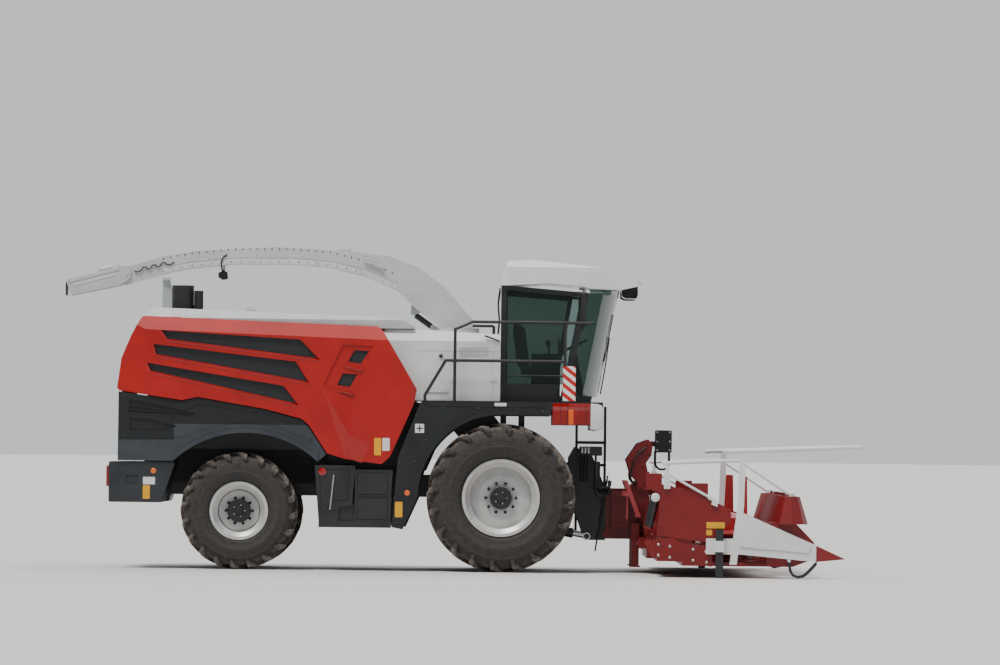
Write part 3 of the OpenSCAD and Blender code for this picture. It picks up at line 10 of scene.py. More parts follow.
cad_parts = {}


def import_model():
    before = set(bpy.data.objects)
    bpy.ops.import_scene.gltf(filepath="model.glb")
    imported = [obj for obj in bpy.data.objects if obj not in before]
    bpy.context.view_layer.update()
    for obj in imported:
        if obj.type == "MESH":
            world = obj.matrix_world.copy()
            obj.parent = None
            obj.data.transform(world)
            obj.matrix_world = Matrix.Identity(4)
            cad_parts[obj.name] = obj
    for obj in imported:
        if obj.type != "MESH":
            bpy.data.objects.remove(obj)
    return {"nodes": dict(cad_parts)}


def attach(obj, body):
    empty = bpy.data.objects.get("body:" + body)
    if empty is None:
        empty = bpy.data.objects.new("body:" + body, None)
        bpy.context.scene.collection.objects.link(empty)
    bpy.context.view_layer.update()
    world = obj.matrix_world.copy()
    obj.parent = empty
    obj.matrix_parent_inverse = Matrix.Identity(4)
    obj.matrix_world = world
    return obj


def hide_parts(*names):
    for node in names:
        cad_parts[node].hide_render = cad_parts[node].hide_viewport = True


bl_info = {
    "name": "Forage Harvester Looks",
    "version": (1, 0, 0),
    "blender": (4, 5, 0),
    "location": "3D View > Sidebar > Harvester",
    "description": "Paints, glazes and trims a forage harvester",
    "category": "Object",
}

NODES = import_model()["nodes"]
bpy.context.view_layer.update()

# the wheels' places and sizes, in metres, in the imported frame
AXLE_X = 0.602
WHEELBASE = 3.4
REAR_X = AXLE_X - WHEELBASE
FRONT_R = 0.965
REAR_R = 0.76
FRONT_TRACK = 1.285
REAR_TRACK = 1.15
# how far from the middle the faces stand that the trim lies on, in millimetres
PANEL_Y = 1480
RECESS_Y = PANEL_Y - 42
SKIRT_Y = 1440
HEADER_END_Y = 3620
SIDES = {"right": -1, "left": 1}


def here(x, y, z):
    """A point given in millimetres from the front axle and the ground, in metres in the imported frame."""
    return Vector((x / 1000 + AXLE_X, y / 1000, z / 1000))


# materials

def linear(code):
    """Linear red, green, blue and alpha of an sRGB hex colour."""
    parts = [int(code[i:i + 2], 16) / 255 for i in (1, 3, 5)]
    return [p / 12.92 if p <= 0.04045 else ((p + 0.055) / 1.055) ** 2.4 for p in parts] + [1.0]


def add(tree, kind, settings=None, links=None):
    """Adds one node with its settings and its incoming links."""
    node = tree.nodes.new(kind)
    for name, value in (settings or {}).items():
        if name in node.inputs:
            node.inputs[name].default_value = value
        else:
            setattr(node, name, value)
    for socket, source in (links or {}).items():
        tree.links.new(source, node.inputs[socket])
    return node


def begin(name):
    """A new material with an empty tree, and its object coordinates."""
    material = bpy.data.materials.new(name)
    material.use_nodes = True
    tree = material.node_tree
    tree.nodes.clear()
    place = add(tree, "ShaderNodeTexCoord").outputs["Object"]
    return material, tree, place


def close(tree, settings, links):
    """The shader and the output that end a material."""
    shader = add(tree, "ShaderNodeBsdfPrincipled", settings, links)
    add(tree, "ShaderNodeOutputMaterial", None, {"Surface": shader.outputs[0]})


def noise(tree, place, size_mm, detail=3.0, roughness=0.5):
    """Noise whose spots are about size_mm across."""
    settings = {"Scale": 1000 / size_mm, "Detail": detail, "Roughness": roughness}
    return add(tree, "ShaderNodeTexNoise", settings, {"Vector": place}).outputs["Fac"]


def waves(pitch_mm):
    """The Scale of a Wave texture whose bands stand pitch_mm apart."""
    return math.pi / 10 * 1000 / pitch_mm


def ramp(tree, factor, low, high, dark, light):
    """Goes from a dark to a light colour as factor goes from low to high."""
    amount = add(tree, "ShaderNodeMapRange", {"From Min": low, "From Max": high}, {"Value": factor})
    mix = add(tree, "ShaderNodeMix", {"data_type": "RGBA"})
    tree.links.new(amount.outputs[0], mix.inputs["Factor"])
    mix.inputs[6].default_value = linear(dark)
    mix.inputs[7].default_value = linear(light)
    return mix.outputs[2]


def bump(tree, height, strength, depth_mm):
    """A normal that follows height, depth_mm deep at full strength."""
    return add(tree, "ShaderNodeBump", {"Strength": strength, "Distance": depth_mm / 1000},
               {"Height": height}).outputs[0]


def zone(tree, place, low, high):
    """1 inside a box of the object's own coordinates, in metres, and 0 outside."""
    axes = add(tree, "ShaderNodeSeparateXYZ", None, {"Vector": place})
    inside = None
    for axis in range(3):
        test = add(tree, "ShaderNodeMath", {"operation": "COMPARE"}, {0: axes.outputs[axis]})
        test.inputs[1].default_value = (low[axis] + high[axis]) / 2
        test.inputs[2].default_value = (high[axis] - low[axis]) / 2
        if inside is None:
            inside = test.outputs[0]
        else:
            both = add(tree, "ShaderNodeMath", {"operation": "MULTIPLY"}, {0: inside, 1: test.outputs[0]})
            inside = both.outputs[0]
    return inside


def enamel(name, dark, light, roughness, coat, zones=()):
    """Sprayed enamel: broad faint shifts of tone, and an orange peel of about 6 mm.

    Zones are boxes, each two corners in millimetres and a colour, that are masked off and resprayed.
    """
    material, tree, place = begin(name)
    tone = ramp(tree, noise(tree, place, 420, 4), 0.35, 0.65, dark, light)
    for low, high, colour in zones:
        mix = add(tree, "ShaderNodeMix", {"data_type": "RGBA"})
        tree.links.new(zone(tree, place, here(*low), here(*high)), mix.inputs["Factor"])
        tree.links.new(tone, mix.inputs[6])
        mix.inputs[7].default_value = linear(colour)
        tone = mix.outputs[2]
    skin = bump(tree, noise(tree, place, 6, 1), 0.05, 0.4)
    close(tree, {"Roughness": roughness, "Coat Weight": coat, "Coat Roughness": 0.12},
          {"Base Color": tone, "Normal": skin})
    return material


def moulded_plastic(name, dark, light, roughness=0.5):
    """Moulded polypropylene: matt, with a fine pebble grain of about 4 mm."""
    material, tree, place = begin(name)
    tone = ramp(tree, noise(tree, place, 300, 3), 0.3, 0.7, dark, light)
    grain = bump(tree, noise(tree, place, 4, 2), 0.18, 0.5)
    close(tree, {"Roughness": roughness}, {"Base Color": tone, "Normal": grain})
    return material


def cast_iron(name):
    """Painted castings: a rough skin of about 12 mm lumps, with dust in its hollows."""
    material, tree, place = begin(name)
    tone = ramp(tree, noise(tree, place, 90, 5), 0.3, 0.72, "#1b1c1e", "#38393a")
    skin = bump(tree, noise(tree, place, 12, 3), 0.3, 1.5)
    close(tree, {"Roughness": 0.62}, {"Base Color": tone, "Normal": skin})
    return material


def tyre_rubber(name, centre_x, radius):
    """Vulcanised rubber: near black, with pale road dust that is thickest on the lugs' faces."""
    material, tree, place = begin(name)
    middle = add(tree, "ShaderNodeVectorMath", {"operation": "SUBTRACT"}, {0: place})
    middle.inputs[1].default_value = (centre_x, 0, radius)
    flat = add(tree, "ShaderNodeVectorMath", {"operation": "MULTIPLY"}, {0: middle.outputs[0]})
    flat.inputs[1].default_value = (1, 0, 1)
    reach = add(tree, "ShaderNodeVectorMath", {"operation": "LENGTH"}, {0: flat.outputs[0]})
    outer = add(tree, "ShaderNodeMapRange", {"From Min": radius - 0.10, "From Max": radius - 0.01,
                "To Min": 0.06, "To Max": 0.75}, {"Value": reach.outputs["Value"]})
    spots = add(tree, "ShaderNodeMapRange", {"From Min": 0.34, "From Max": 0.62},
                {"Value": noise(tree, place, 60, 5, 0.6)})
    dust = add(tree, "ShaderNodeMath", {"operation": "MULTIPLY"}, {0: outer.outputs[0], 1: spots.outputs[0]})
    tone = ramp(tree, dust.outputs[0], 0.0, 1.0, "#302f2e", "#93867d")
    skin = bump(tree, noise(tree, place, 5, 3), 0.25, 0.8)
    close(tree, {"Roughness": 0.82}, {"Base Color": tone, "Normal": skin})
    return material


def tinted_glass(name, tint):
    """Toughened float glass with a green-grey tint: clear, smooth and glossy."""
    material, tree, place = begin(name)
    waver = bump(tree, noise(tree, place, 260, 1), 0.02, 1.0)
    close(tree, {"Base Color": linear(tint), "Roughness": 0.02, "Transmission Weight": 0.92,
                 "IOR": 1.45}, {"Normal": waver})
    return material


def lamp_lens(name, dark, light):
    """Moulded acrylic lens: deep colour under a clear gloss, with upright optic ribs 14 mm apart."""
    material, tree, place = begin(name)
    ribs = add(tree, "ShaderNodeTexWave", {"Scale": waves(14), "Distortion": 0.0},
               {"Vector": place}).outputs["Fac"]
    tone = ramp(tree, ribs, 0.0, 1.0, dark, light)
    close(tree, {"Roughness": 0.12, "Coat Weight": 0.8, "Coat Roughness": 0.03},
          {"Base Color": tone, "Normal": bump(tree, ribs, 0.2, 1.0)})
    return material


def bright_steel(name):
    """Hard chrome on a ground rod: a mirror with hair-fine lines round it."""
    material, tree, place = begin(name)
    lines = noise(tree, place, 3, 2)
    tone = ramp(tree, lines, 0.2, 0.8, "#b9bbbd", "#d8dadc")
    close(tree, {"Metallic": 1.0, "Roughness": 0.16},
          {"Base Color": tone, "Normal": bump(tree, lines, 0.04, 0.2)})
    return material


def aluminium_enamel(name):
    """Silver wheel enamel: fine flake under a satin coat, with a little brake dust."""
    material, tree, place = begin(name)
    tone = ramp(tree, noise(tree, place, 150, 5), 0.3, 0.7, "#bdbcba", "#d2d1cf")
    close(tree, {"Metallic": 0.25, "Roughness": 0.38},
          {"Base Color": tone, "Normal": bump(tree, noise(tree, place, 3, 1), 0.05, 0.3)})
    return material


def woven_fabric(name):
    """Woven polyester seat cloth: dull charcoal with a thread every 3 mm, drawn coarse so that it shows."""
    material, tree, place = begin(name)
    across, upright = (add(tree, "ShaderNodeTexWave", {"Scale": waves(3), "bands_direction": axis},
                           {"Vector": place}).outputs["Fac"] for axis in "XZ")
    weave = add(tree, "ShaderNodeMath", {"operation": "MULTIPLY"}, {0: across, 1: upright}).outputs[0]
    close(tree, {"Roughness": 0.95, "Sheen Weight": 0.3},
          {"Base Color": ramp(tree, weave, 0.0, 1.0, "#1d1f22", "#3b3e42"),
           "Normal": bump(tree, weave, 0.5, 1.0)})
    return material


def striped_film(name, dark, light, pitch_mm, lean):
    """Reflective film with slanted stripes, pitch_mm from one dark stripe to the next."""
    material, tree, place = begin(name)
    turned = add(tree, "ShaderNodeMapping", {"Rotation": (0, lean, 0)}, {"Vector": place}).outputs[0]
    stripe = add(tree, "ShaderNodeTexWave", {"Scale": waves(pitch_mm), "bands_direction": "X"},
                 {"Vector": turned}).outputs["Fac"]
    close(tree, {"Roughness": 0.3, "Coat Weight": 0.5},
          {"Base Color": ramp(tree, stripe, 0.48, 0.52, dark, light)})
    return material


def wire_mesh(name, hole_mm):
    """Punched steel mesh: near black, with round holes hole_mm apart that are painted darker still, as painted
    shade seen through them.
    """
    material, tree, place = begin(name)
    cells = add(tree, "ShaderNodeTexVoronoi", {"Scale": 1000 / hole_mm, "Randomness": 0.0},
                {"Vector": place}).outputs["Distance"]
    # the holes' near black is painted shade: the dark seen through each hole
    tone = ramp(tree, cells, 0.30, 0.40, "#08090a", "#3a3d41")
    close(tree, {"Roughness": 0.5, "Metallic": 0.4},
          {"Base Color": tone, "Normal": bump(tree, cells, 0.6, 2.0)})
    return material


def plain(name, colour, roughness, coat=0.0, metal=0.0):
    """The even finish of a small part, in one colour."""
    material, tree, place = begin(name)
    tone = ramp(tree, noise(tree, place, 80, 2), 0.0, 1.0, colour, colour)
    close(tree, {"Roughness": roughness, "Coat Weight": coat, "Metallic": metal}, {"Base Color": tone})
    return material


# the construction pieces that each finish is for, by the starts of their names
NODE_FINISHES = {
    "panel_enamel": ["side_panel"], "centre_paint": ["header_centre"], "header_enamel": ["wing"],
    "rotor_enamel": ["rotor"], "divider_paint": ["divider"], "white_gelcoat": ["cab_roof"],
    "white_enamel": ["white_housing"], "grey_enamel": ["hood_deck", "spout_rest"],
    "spout_enamel": ["spout_turret", "spout_deflector"], "arm_paint": ["spout_arm"],
    "skirt_plastic": ["rear_skirts"], "black_plastic": ["rear_grille", "rear_box"],
    "fender_plastic": ["fenders"], "iron": ["engine", "front_axle", "rear_axle", "knuckle"],
    "black_enamel": ["side_boxes", "frame", "chopper_housing", "feeder_house", "ladder", "rails", "stand",
                     "spout_barrel", "ram_barrels"],
    "cab_enamel": ["cab_frame", "door_frame"], "glass": ["cab_glass", "door_glass"], "fabric": ["seat"],
    "cab_plastic": ["console", "air_cleaner"], "lamp_cluster": ["lamps"],
    "chrome": ["tie_rod", "spout_rod", "ram_rods"], "front_rubber": ["front_tyre"],
    "rear_rubber": ["rear_tyre"], "rim_enamel": ["front_rim", "rear_rim"],
}
# the materials by their short names, once make_finishes has made them
FINISHES = {}


def make_finishes():
    """All the materials, by the short names that the pieces use."""
    return {
        "centre_paint": enamel("header frame enamel", "#64080b", "#720b0e", 0.42, 0.1, [
            ((1590, -610, 700), (1860, -555, 1210), "#b5484b"),
            ((1590, 555, 700), (1860, 610, 1210), "#b5484b"),
            ((2005, -135, 1330), (2250, 135, 1880), "#151618")]),
        "divider_paint": enamel("divider enamel", "#d6d8d8", "#e0e1e1", 0.36, 0.4, [
            ((3993, -3800, 190), (4400, 3800, 470), "#7c090d"),
            ((3600, -3800, 0), (4020, 3800, 212), "#17181a")]),
        "lamp_cluster": enamel("moulded lamp cluster", "#8b0804", "#9c0b06", 0.14, 0.8, [
            ((866, -1600, 1900), (931, 1600, 2120), "#f0660c"),
            ((1149, -1600, 1800), (1320, 1600, 2120), "#e3e4e2"),
            ((1500, -1000, 3400), (1800, 1000, 3800), "#17181a")]),
        "rotor_enamel": enamel("worn rotor enamel", "#8e1013", "#a01517", 0.4, 0.3),
        "arm_paint": enamel("silver grey enamel with a black lamp", "#bdbec1", "#cacbcd", 0.4, 0.3, [
            ((-3760, -80, 3780), (-3625, 80, 3915), "#1a1b1d")]),
        "skirt_plastic": enamel("charcoal moulded skirt", "#2f343a", "#3a3f46", 0.48, 0.0, [
            ((-4972, -1600, 1672), (-4250, 1600, 2320), "#14171a"),
            ((-4250, -1600, 1880), (-2200, 1600, 2320), "#14171a")]),
        "fender_plastic": moulded_plastic("black moulded polypropylene", "#131619", "#1c2024", 0.46),
        "spout_channel": enamel("pale channel enamel", "#cfd0d2", "#dadbdc", 0.36, 0.3),
        "rubber": plain("black hose rubber", "#151516", 0.5),
        "zinc": plain("bright zinc plating", "#c3c4c2", 0.32, metal=0.85),
        "clear_lens": plain("clear polycarbonate lens", "#e6eaec", 0.06, coat=1.0, metal=0.2),
        "amber_lens": plain("amber acrylic lens", "#e8630a", 0.14, coat=0.8),
        "yellow_film": plain("yellow vinyl film", "#e3a713", 0.4),
        "white_film": plain("white vinyl film", "#dcdedd", 0.4),
        "stripes": striped_film("red and white reflective film", "#c21512", "#f0f0ee", 96,
                                math.radians(52)),
        "mesh": wire_mesh("punched steel mesh", 16),
        "mirror": plain("silvered mirror glass", "#d4d8da", 0.03, metal=1.0),
        "screen": plain("dark display glass", "#0c1013", 0.08, coat=0.6),
        "grey_plastic": plain("mid grey moulded plastic", "#5b6064", 0.5),
        "panel_enamel": enamel("red gloss enamel", "#a00b06", "#b00f09", 0.34, 0.15),
        "header_enamel": enamel("dark red enamel", "#6c080c", "#7c0c0f", 0.42, 0.1),
        "white_enamel": enamel("white enamel", "#d3d5d5", "#dfe0df", 0.34, 0.4),
        "white_gelcoat": enamel("white gelcoat", "#e3e3e0", "#ebebe8", 0.26, 0.6),
        "grey_enamel": enamel("light grey enamel", "#b4b8ba", "#c2c6c8", 0.4, 0.3),
        "spout_enamel": enamel("silver grey enamel", "#bdbec1", "#cacbcd", 0.4, 0.3),
        "black_enamel": enamel("black chassis enamel", "#1b1c1e", "#26272a", 0.42, 0.2),
        "cab_enamel": enamel("black cab enamel", "#191b1d", "#222427", 0.34, 0.4),
        "black_plastic": moulded_plastic("charcoal moulded polypropylene", "#24272b", "#2f3338", 0.46),
        "cab_plastic": moulded_plastic("black moulded ABS", "#17181a", "#222325", 0.55),
        "iron": cast_iron("painted cast iron"),
        "front_rubber": tyre_rubber("dusty front tyre rubber", AXLE_X, FRONT_R),
        "rear_rubber": tyre_rubber("dusty rear tyre rubber", REAR_X, REAR_R),
        "glass": tinted_glass("green tinted toughened glass", "#7f938d"),
        "red_lens": lamp_lens("red acrylic lens", "#7a0a06", "#c01008"),
        "chrome": bright_steel("hard chromed steel"),
        "rim_enamel": aluminium_enamel("silver wheel enamel"),
        "fabric": woven_fabric("woven polyester cloth"),
    }


# modelling by hand: every helper leaves one finished object, in place, at the origin

def deselect():
    """Selects nothing."""
    bpy.ops.object.select_all(action="DESELECT")


def activate(piece):
    """Selects one piece alone and makes it the active one."""
    deselect()
    piece.select_set(True)
    bpy.context.view_layer.objects.active = piece


def named(name, finish, body):
    """Names the active object, paints it, and lets it ride on a body."""
    piece = bpy.context.object
    piece.name = piece.data.name = name
    piece.data.materials.clear()
    piece.data.materials.append(FINISHES[finish])
    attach(piece, body)
    return piece


@contextmanager
def editing(piece):
    """Edit mode on one piece, with nothing selected at first."""
    activate(piece)
    bpy.ops.object.mode_set(mode="EDIT")
    bpy.ops.mesh.select_all(action="DESELECT")
    yield bmesh.from_edit_mesh(piece.data)
    bpy.ops.object.mode_set(mode="OBJECT")


def pick_top(piece, mesh):
    """Selects the faces that look up."""
    for face in mesh.faces:
        face.select_set(face.normal.z > 0.9)
    bmesh.update_edit_mesh(piece.data)


def soften(piece, width, angle=35, segments=2):
    """Rounds the sharp edges with a bevel modifier and shades the piece smooth up to an angle."""
    activate(piece)
    if width:
        bevel = piece.modifiers.new("rounding", "BEVEL")
        bevel.width = width
        bevel.segments = segments
        bevel.limit_method = "ANGLE"
        bevel.angle_limit = math.radians(angle)
        bpy.ops.object.modifier_apply(modifier=bevel.name)
    bpy.ops.object.shade_smooth_by_angle(angle=math.radians(angle))


def settle():
    """Applies the active object's place, turn and size to its mesh."""
    bpy.ops.object.transform_apply(location=True, rotation=True, scale=True)


def board(name, finish, body, outline, y0, y1, edge=0.002):
    """A plate cut to an outline of x and z, from y0 to y1, all in millimetres, with a rounded rim."""
    deselect()
    bpy.ops.mesh.primitive_circle_add(vertices=len(outline), fill_type="NGON")
    piece = bpy.context.object
    for vertex, (x, z) in zip(piece.data.vertices, outline):
        vertex.co = here(x, y0, z)
    with editing(piece):
        bpy.ops.mesh.select_all(action="SELECT")
        bpy.ops.mesh.extrude_region_move(TRANSFORM_OT_translate={"value": (0, (y1 - y0) / 1000, 0)})
        bpy.ops.mesh.select_all(action="SELECT")
        bpy.ops.mesh.normals_make_consistent(inside=False)
    soften(piece, edge)
    return named(name, finish, body)


def turn_to(axis):
    """The turn that lays +Z along an axis."""
    return Vector(axis).to_track_quat("Z", "Y").to_matrix().to_4x4()


def turned_part(name, finish, body, profile, centre, axis, steps=48):
    """A lathe part: a profile of radius and height in metres, spun about an axis that stands on centre."""
    deselect()
    bpy.ops.mesh.primitive_plane_add(size=1)
    piece = bpy.context.object
    with editing(piece) as mesh:
        bmesh.ops.delete(mesh, geom=list(mesh.verts), context="VERTS")
        line = [mesh.verts.new((radius, 0, height)) for radius, height in profile]
        for a, b in zip(line, line[1:]):
            mesh.edges.new((a, b))
        bmesh.update_edit_mesh(piece.data)
        bpy.ops.mesh.select_all(action="SELECT")
        bpy.ops.mesh.spin(steps=steps, angle=2 * math.pi, center=(0, 0, 0), axis=(0, 0, 1))
        bpy.ops.mesh.select_all(action="SELECT")
        bpy.ops.mesh.remove_doubles(threshold=0.00005)
        bpy.ops.mesh.normals_make_consistent(inside=False)
    piece.data.transform(Matrix.Translation(centre) @ turn_to(axis))
    soften(piece, 0, 40)
    return named(name, finish, body)


def hose(name, finish, body, points, radius):
    """A clipped hose or bent bar: a smooth curve through points in millimetres, made a mesh."""
    deselect()
    bpy.ops.curve.primitive_bezier_curve_add()
    piece = bpy.context.object
    curve = piece.data
    curve.splines.clear()
    line = curve.splines.new("BEZIER")
    line.bezier_points.add(len(points) - 1)
    for knot, point in zip(line.bezier_points, points):
        knot.co = here(*point)
        knot.handle_left_type = knot.handle_right_type = "AUTO"
    curve.resolution_u = 12
    curve.bevel_depth = radius / 1000
    curve.bevel_resolution = 3
    curve.use_fill_caps = True
    bpy.ops.object.convert(target="MESH")
    soften(bpy.context.object, 0, 40)
    return named(name, finish, body)


def fastener(sides, radius, height, rim, rise, bore, depth):
    """A screw's head or a nut along +Z from the origin: its rim is chamfered, its top raised and bored.

    The rim's and the bore's insets are shares of the radius, and the rise and the depth of the height.
    """
    deselect()
    bpy.ops.mesh.primitive_cylinder_add(vertices=sides, radius=radius, depth=height,
                                        location=(0, 0, height / 2))
    piece = bpy.context.object
    settle()
    with editing(piece) as mesh:
        pick_top(piece, mesh)
        bpy.ops.mesh.inset(thickness=radius * rim)
        bpy.ops.transform.translate(value=(0, 0, height * rise))
        bpy.ops.mesh.inset(thickness=radius * bore)
        bpy.ops.mesh.extrude_region_move(TRANSFORM_OT_translate={"value": (0, 0, height * depth)})
        if depth > 0:
            bpy.ops.mesh.inset(thickness=radius * 0.08)
    return piece


def hex_nut(radius, height):
    """A hexagon nut, with the bolt's end standing out of it."""
    return fastener(6, radius, height, 0.22, 0.14, 0.2, 0.3)


def button_head(radius, height):
    """A round-headed screw with a socket."""
    return fastener(12, radius, height, 0.35, 0.5, 0.25, -0.6)


def scattered(name, finish, body, master, places, axis):
    """Copies of master at places in millimetres, along an axis, joined as one piece."""
    turn = turn_to(axis)
    deselect()
    for place in places:
        copy = master.copy()
        copy.data = master.data.copy()
        copy.data.transform(Matrix.Translation(here(*place)) @ turn)
        bpy.context.scene.collection.objects.link(copy)
        copy.select_set(True)
        bpy.context.view_layer.objects.active = copy
    bpy.ops.object.join()
    bpy.data.objects.remove(master)
    soften(bpy.context.object, 0, 30)
    return named(name, finish, body)


def screwed(name, finish, body, master, y, places):
    """Copies of master that point outwards from an upright face at y, at places in x and z."""
    return scattered(name, finish, body, master, [(x, y, z) for x, z in places], (0, math.copysign(1, y), 0))


class HarvesterSettings(bpy.types.PropertyGroup):
    """Sizes of the view and the stage"""
    eye_height: bpy.props.FloatProperty(
        name="Eye height", description="Height of the camera above the ground", default=1.6, unit="LENGTH")
    eye_distance: bpy.props.FloatProperty(
        name="Eye distance", description="Distance of the camera from the near wheels", default=87.1,
        unit="LENGTH")
    floor_colour: bpy.props.FloatVectorProperty(
        name="Floor", description="Colour of the studio floor", subtype="COLOR", size=3,
        default=(0.62, 0.61, 0.60))


class HARVESTER_OT_stage(bpy.types.Operator):
    """Sets the camera, the lights, the pale floor and the sky"""
    bl_idname = "harvester.stage"
    bl_label = "Stage"

    def execute(self, context):
        look = context.scene.harvester
        set_camera(context, look)
        set_lights(context)
        set_floor(context, look)
        return {"FINISHED"}


# the photograph's own camera: lengths and places in its pixels, and its roll in degrees
FOCAL_PX = 6700
PHOTO_W = 1000
PHOTO_H = 665
HORIZON_PX = 449
HUB_PX = 501.4
ROLL = -0.66
SENSOR_MM = 36


def set_camera(context, look):
    """The camera stands level with a person's eyes, square to the right-hand side."""
    data = bpy.data.cameras.new("photo_camera")
    data.sensor_width = SENSOR_MM
    data.lens = FOCAL_PX / PHOTO_W * SENSOR_MM
    data.clip_end = 1000
    camera = bpy.data.objects.new("photo_camera", data)
    per_px = look.eye_distance / FOCAL_PX
    x = AXLE_X + (PHOTO_W / 2 - HUB_PX) * per_px
    camera.location = (x, -FRONT_TRACK - look.eye_distance, look.eye_height)
    pitch = math.atan2(HORIZON_PX - PHOTO_H / 2, FOCAL_PX)
    camera.rotation_euler = (math.pi / 2 + pitch, math.radians(ROLL), 0)
    context.scene.collection.objects.link(camera)
    context.scene.camera = camera


# lamps at an endless distance: name, the way each shines, strength, width in degrees and colour
LIGHTS = [
    ("key", (0.32, 0.42, -1.0), 3.2, 22, (1.0, 0.97, 0.92)),
    ("fill", (-0.55, 0.80, -0.25), 0.4, 60, (0.90, 0.95, 1.0)),
    ("rim", (-0.30, -0.80, -0.70), 0.7, 40, (1.0, 1.0, 1.0)),
]


def set_lights(context):
    """A high soft key from behind the viewer's left, a low fill, a rim from behind and a pale sky."""
    world = bpy.data.worlds.new("studio")
    world.use_nodes = True
    tree = world.node_tree
    background = tree.nodes["Background"]
    rise = add(tree, "ShaderNodeVectorMath", {"operation": "DOT_PRODUCT"},
               {0: add(tree, "ShaderNodeTexCoord").outputs["Generated"]})
    rise.inputs[1].default_value = (0, 0.6, 1)
    sky = ramp(tree, rise.outputs["Value"], 0.0, 0.6, "#42484e", "#e2e5e8")
    tree.links.new(sky, background.inputs["Color"])
    background.inputs["Strength"].default_value = 0.95
    context.scene.world = world
    for name, aim, strength, width, colour in LIGHTS:
        data = bpy.data.lights.new(name, "SUN")
        data.energy = strength
        data.angle = math.radians(width)
        data.color = colour
        lamp = bpy.data.objects.new(name, data)
        lamp.rotation_euler = Vector(aim).to_track_quat("-Z", "Y").to_euler()
        context.scene.collection.objects.link(lamp)


def set_floor(context, look):
    """A pale floor that runs out to the horizon."""
    deselect()
    bpy.ops.mesh.primitive_plane_add(size=2400, location=(0, 900, 0))
    floor = context.object
    floor.name = "studio_floor"
    settle()
    material, tree, place = begin("pale studio floor")
    spots = noise(tree, place, 900, 4)
    close(tree, {"Roughness": 0.8, "Base Color": list(look.floor_colour) + [1]},
          {"Normal": bump(tree, spots, 0.02, 1.0)})
    floor.data.materials.append(material)


class HARVESTER_OT_finish_nodes(bpy.types.Operator):
    """Gives every construction piece its material"""
    bl_idname = "harvester.finish_nodes"
    bl_label = "Finishes"

    def execute(self, context):
        FINISHES.update(make_finishes())
        finish_of = {start: finish for finish, starts in NODE_FINISHES.items() for start in starts}
        for name, piece in NODES.items():
            starts = [start for start in finish_of if name.startswith(start)]
            if not starts:
                raise RuntimeError("no finish for " + name)
            piece.data.materials.clear()
            piece.data.materials.append(FINISHES[finish_of[max(starts, key=len)]])
        return {"FINISHED"}


# for each axle: where its wheels are, how far out their disc and their hub cover reach, the radius of the
# cover and of the circle of nuts, the tyre's seat and its tread, and half the tyre's width, in metres
WHEELS = [
    {"axle": "front", "x": AXLE_X, "track": FRONT_TRACK, "radius": FRONT_R, "disc": 0.110, "cap": 0.205,
     "cover_r": 0.155, "nut_circle": 0.195, "seat": 0.4803, "carcass": 0.917, "half": 0.35},
    {"axle": "rear", "x": REAR_X, "track": REAR_TRACK, "radius": REAR_R, "disc": 0.060, "cap": 0.165,
     "cover_r": 0.150, "nut_circle": 0.172, "seat": 0.3553, "carcass": 0.712, "half": 0.28},
]
# nuts on a wheel, the radius of the circle of its cover's screws in millimetres, and lugs on a tyre
NUTS = 10
SCREW_CIRCLE = 76
LUGS = 20
# a tyre's wall: shares of the way from its seat to its tread, and of its half width
TYRE_FORM = [(0.0, 0.78), (0.08, 0.78), (0.16, 0.91), (0.42, 1.0), (0.72, 0.97), (0.90, 0.86), (1.0, 0.60)]
# the shares at which a raised ring runs round the wall
WALL_RINGS = (0.10, 0.17, 0.24, 0.52, 0.60, 0.74)


def tyre_wall(wheel, share):
    """Radius and half width of a tyre's wall at a share of the way from its seat to its tread."""
    for (a, y0), (b, y1) in zip(TYRE_FORM, TYRE_FORM[1:]):
        if a <= share <= b:
            width = y0 + (y1 - y0) * (share - a) / (b - a)
            return wheel["seat"] + share * (wheel["carcass"] - wheel["seat"]), width * wheel["half"]
    raise ValueError("share of a tyre's wall out of range")


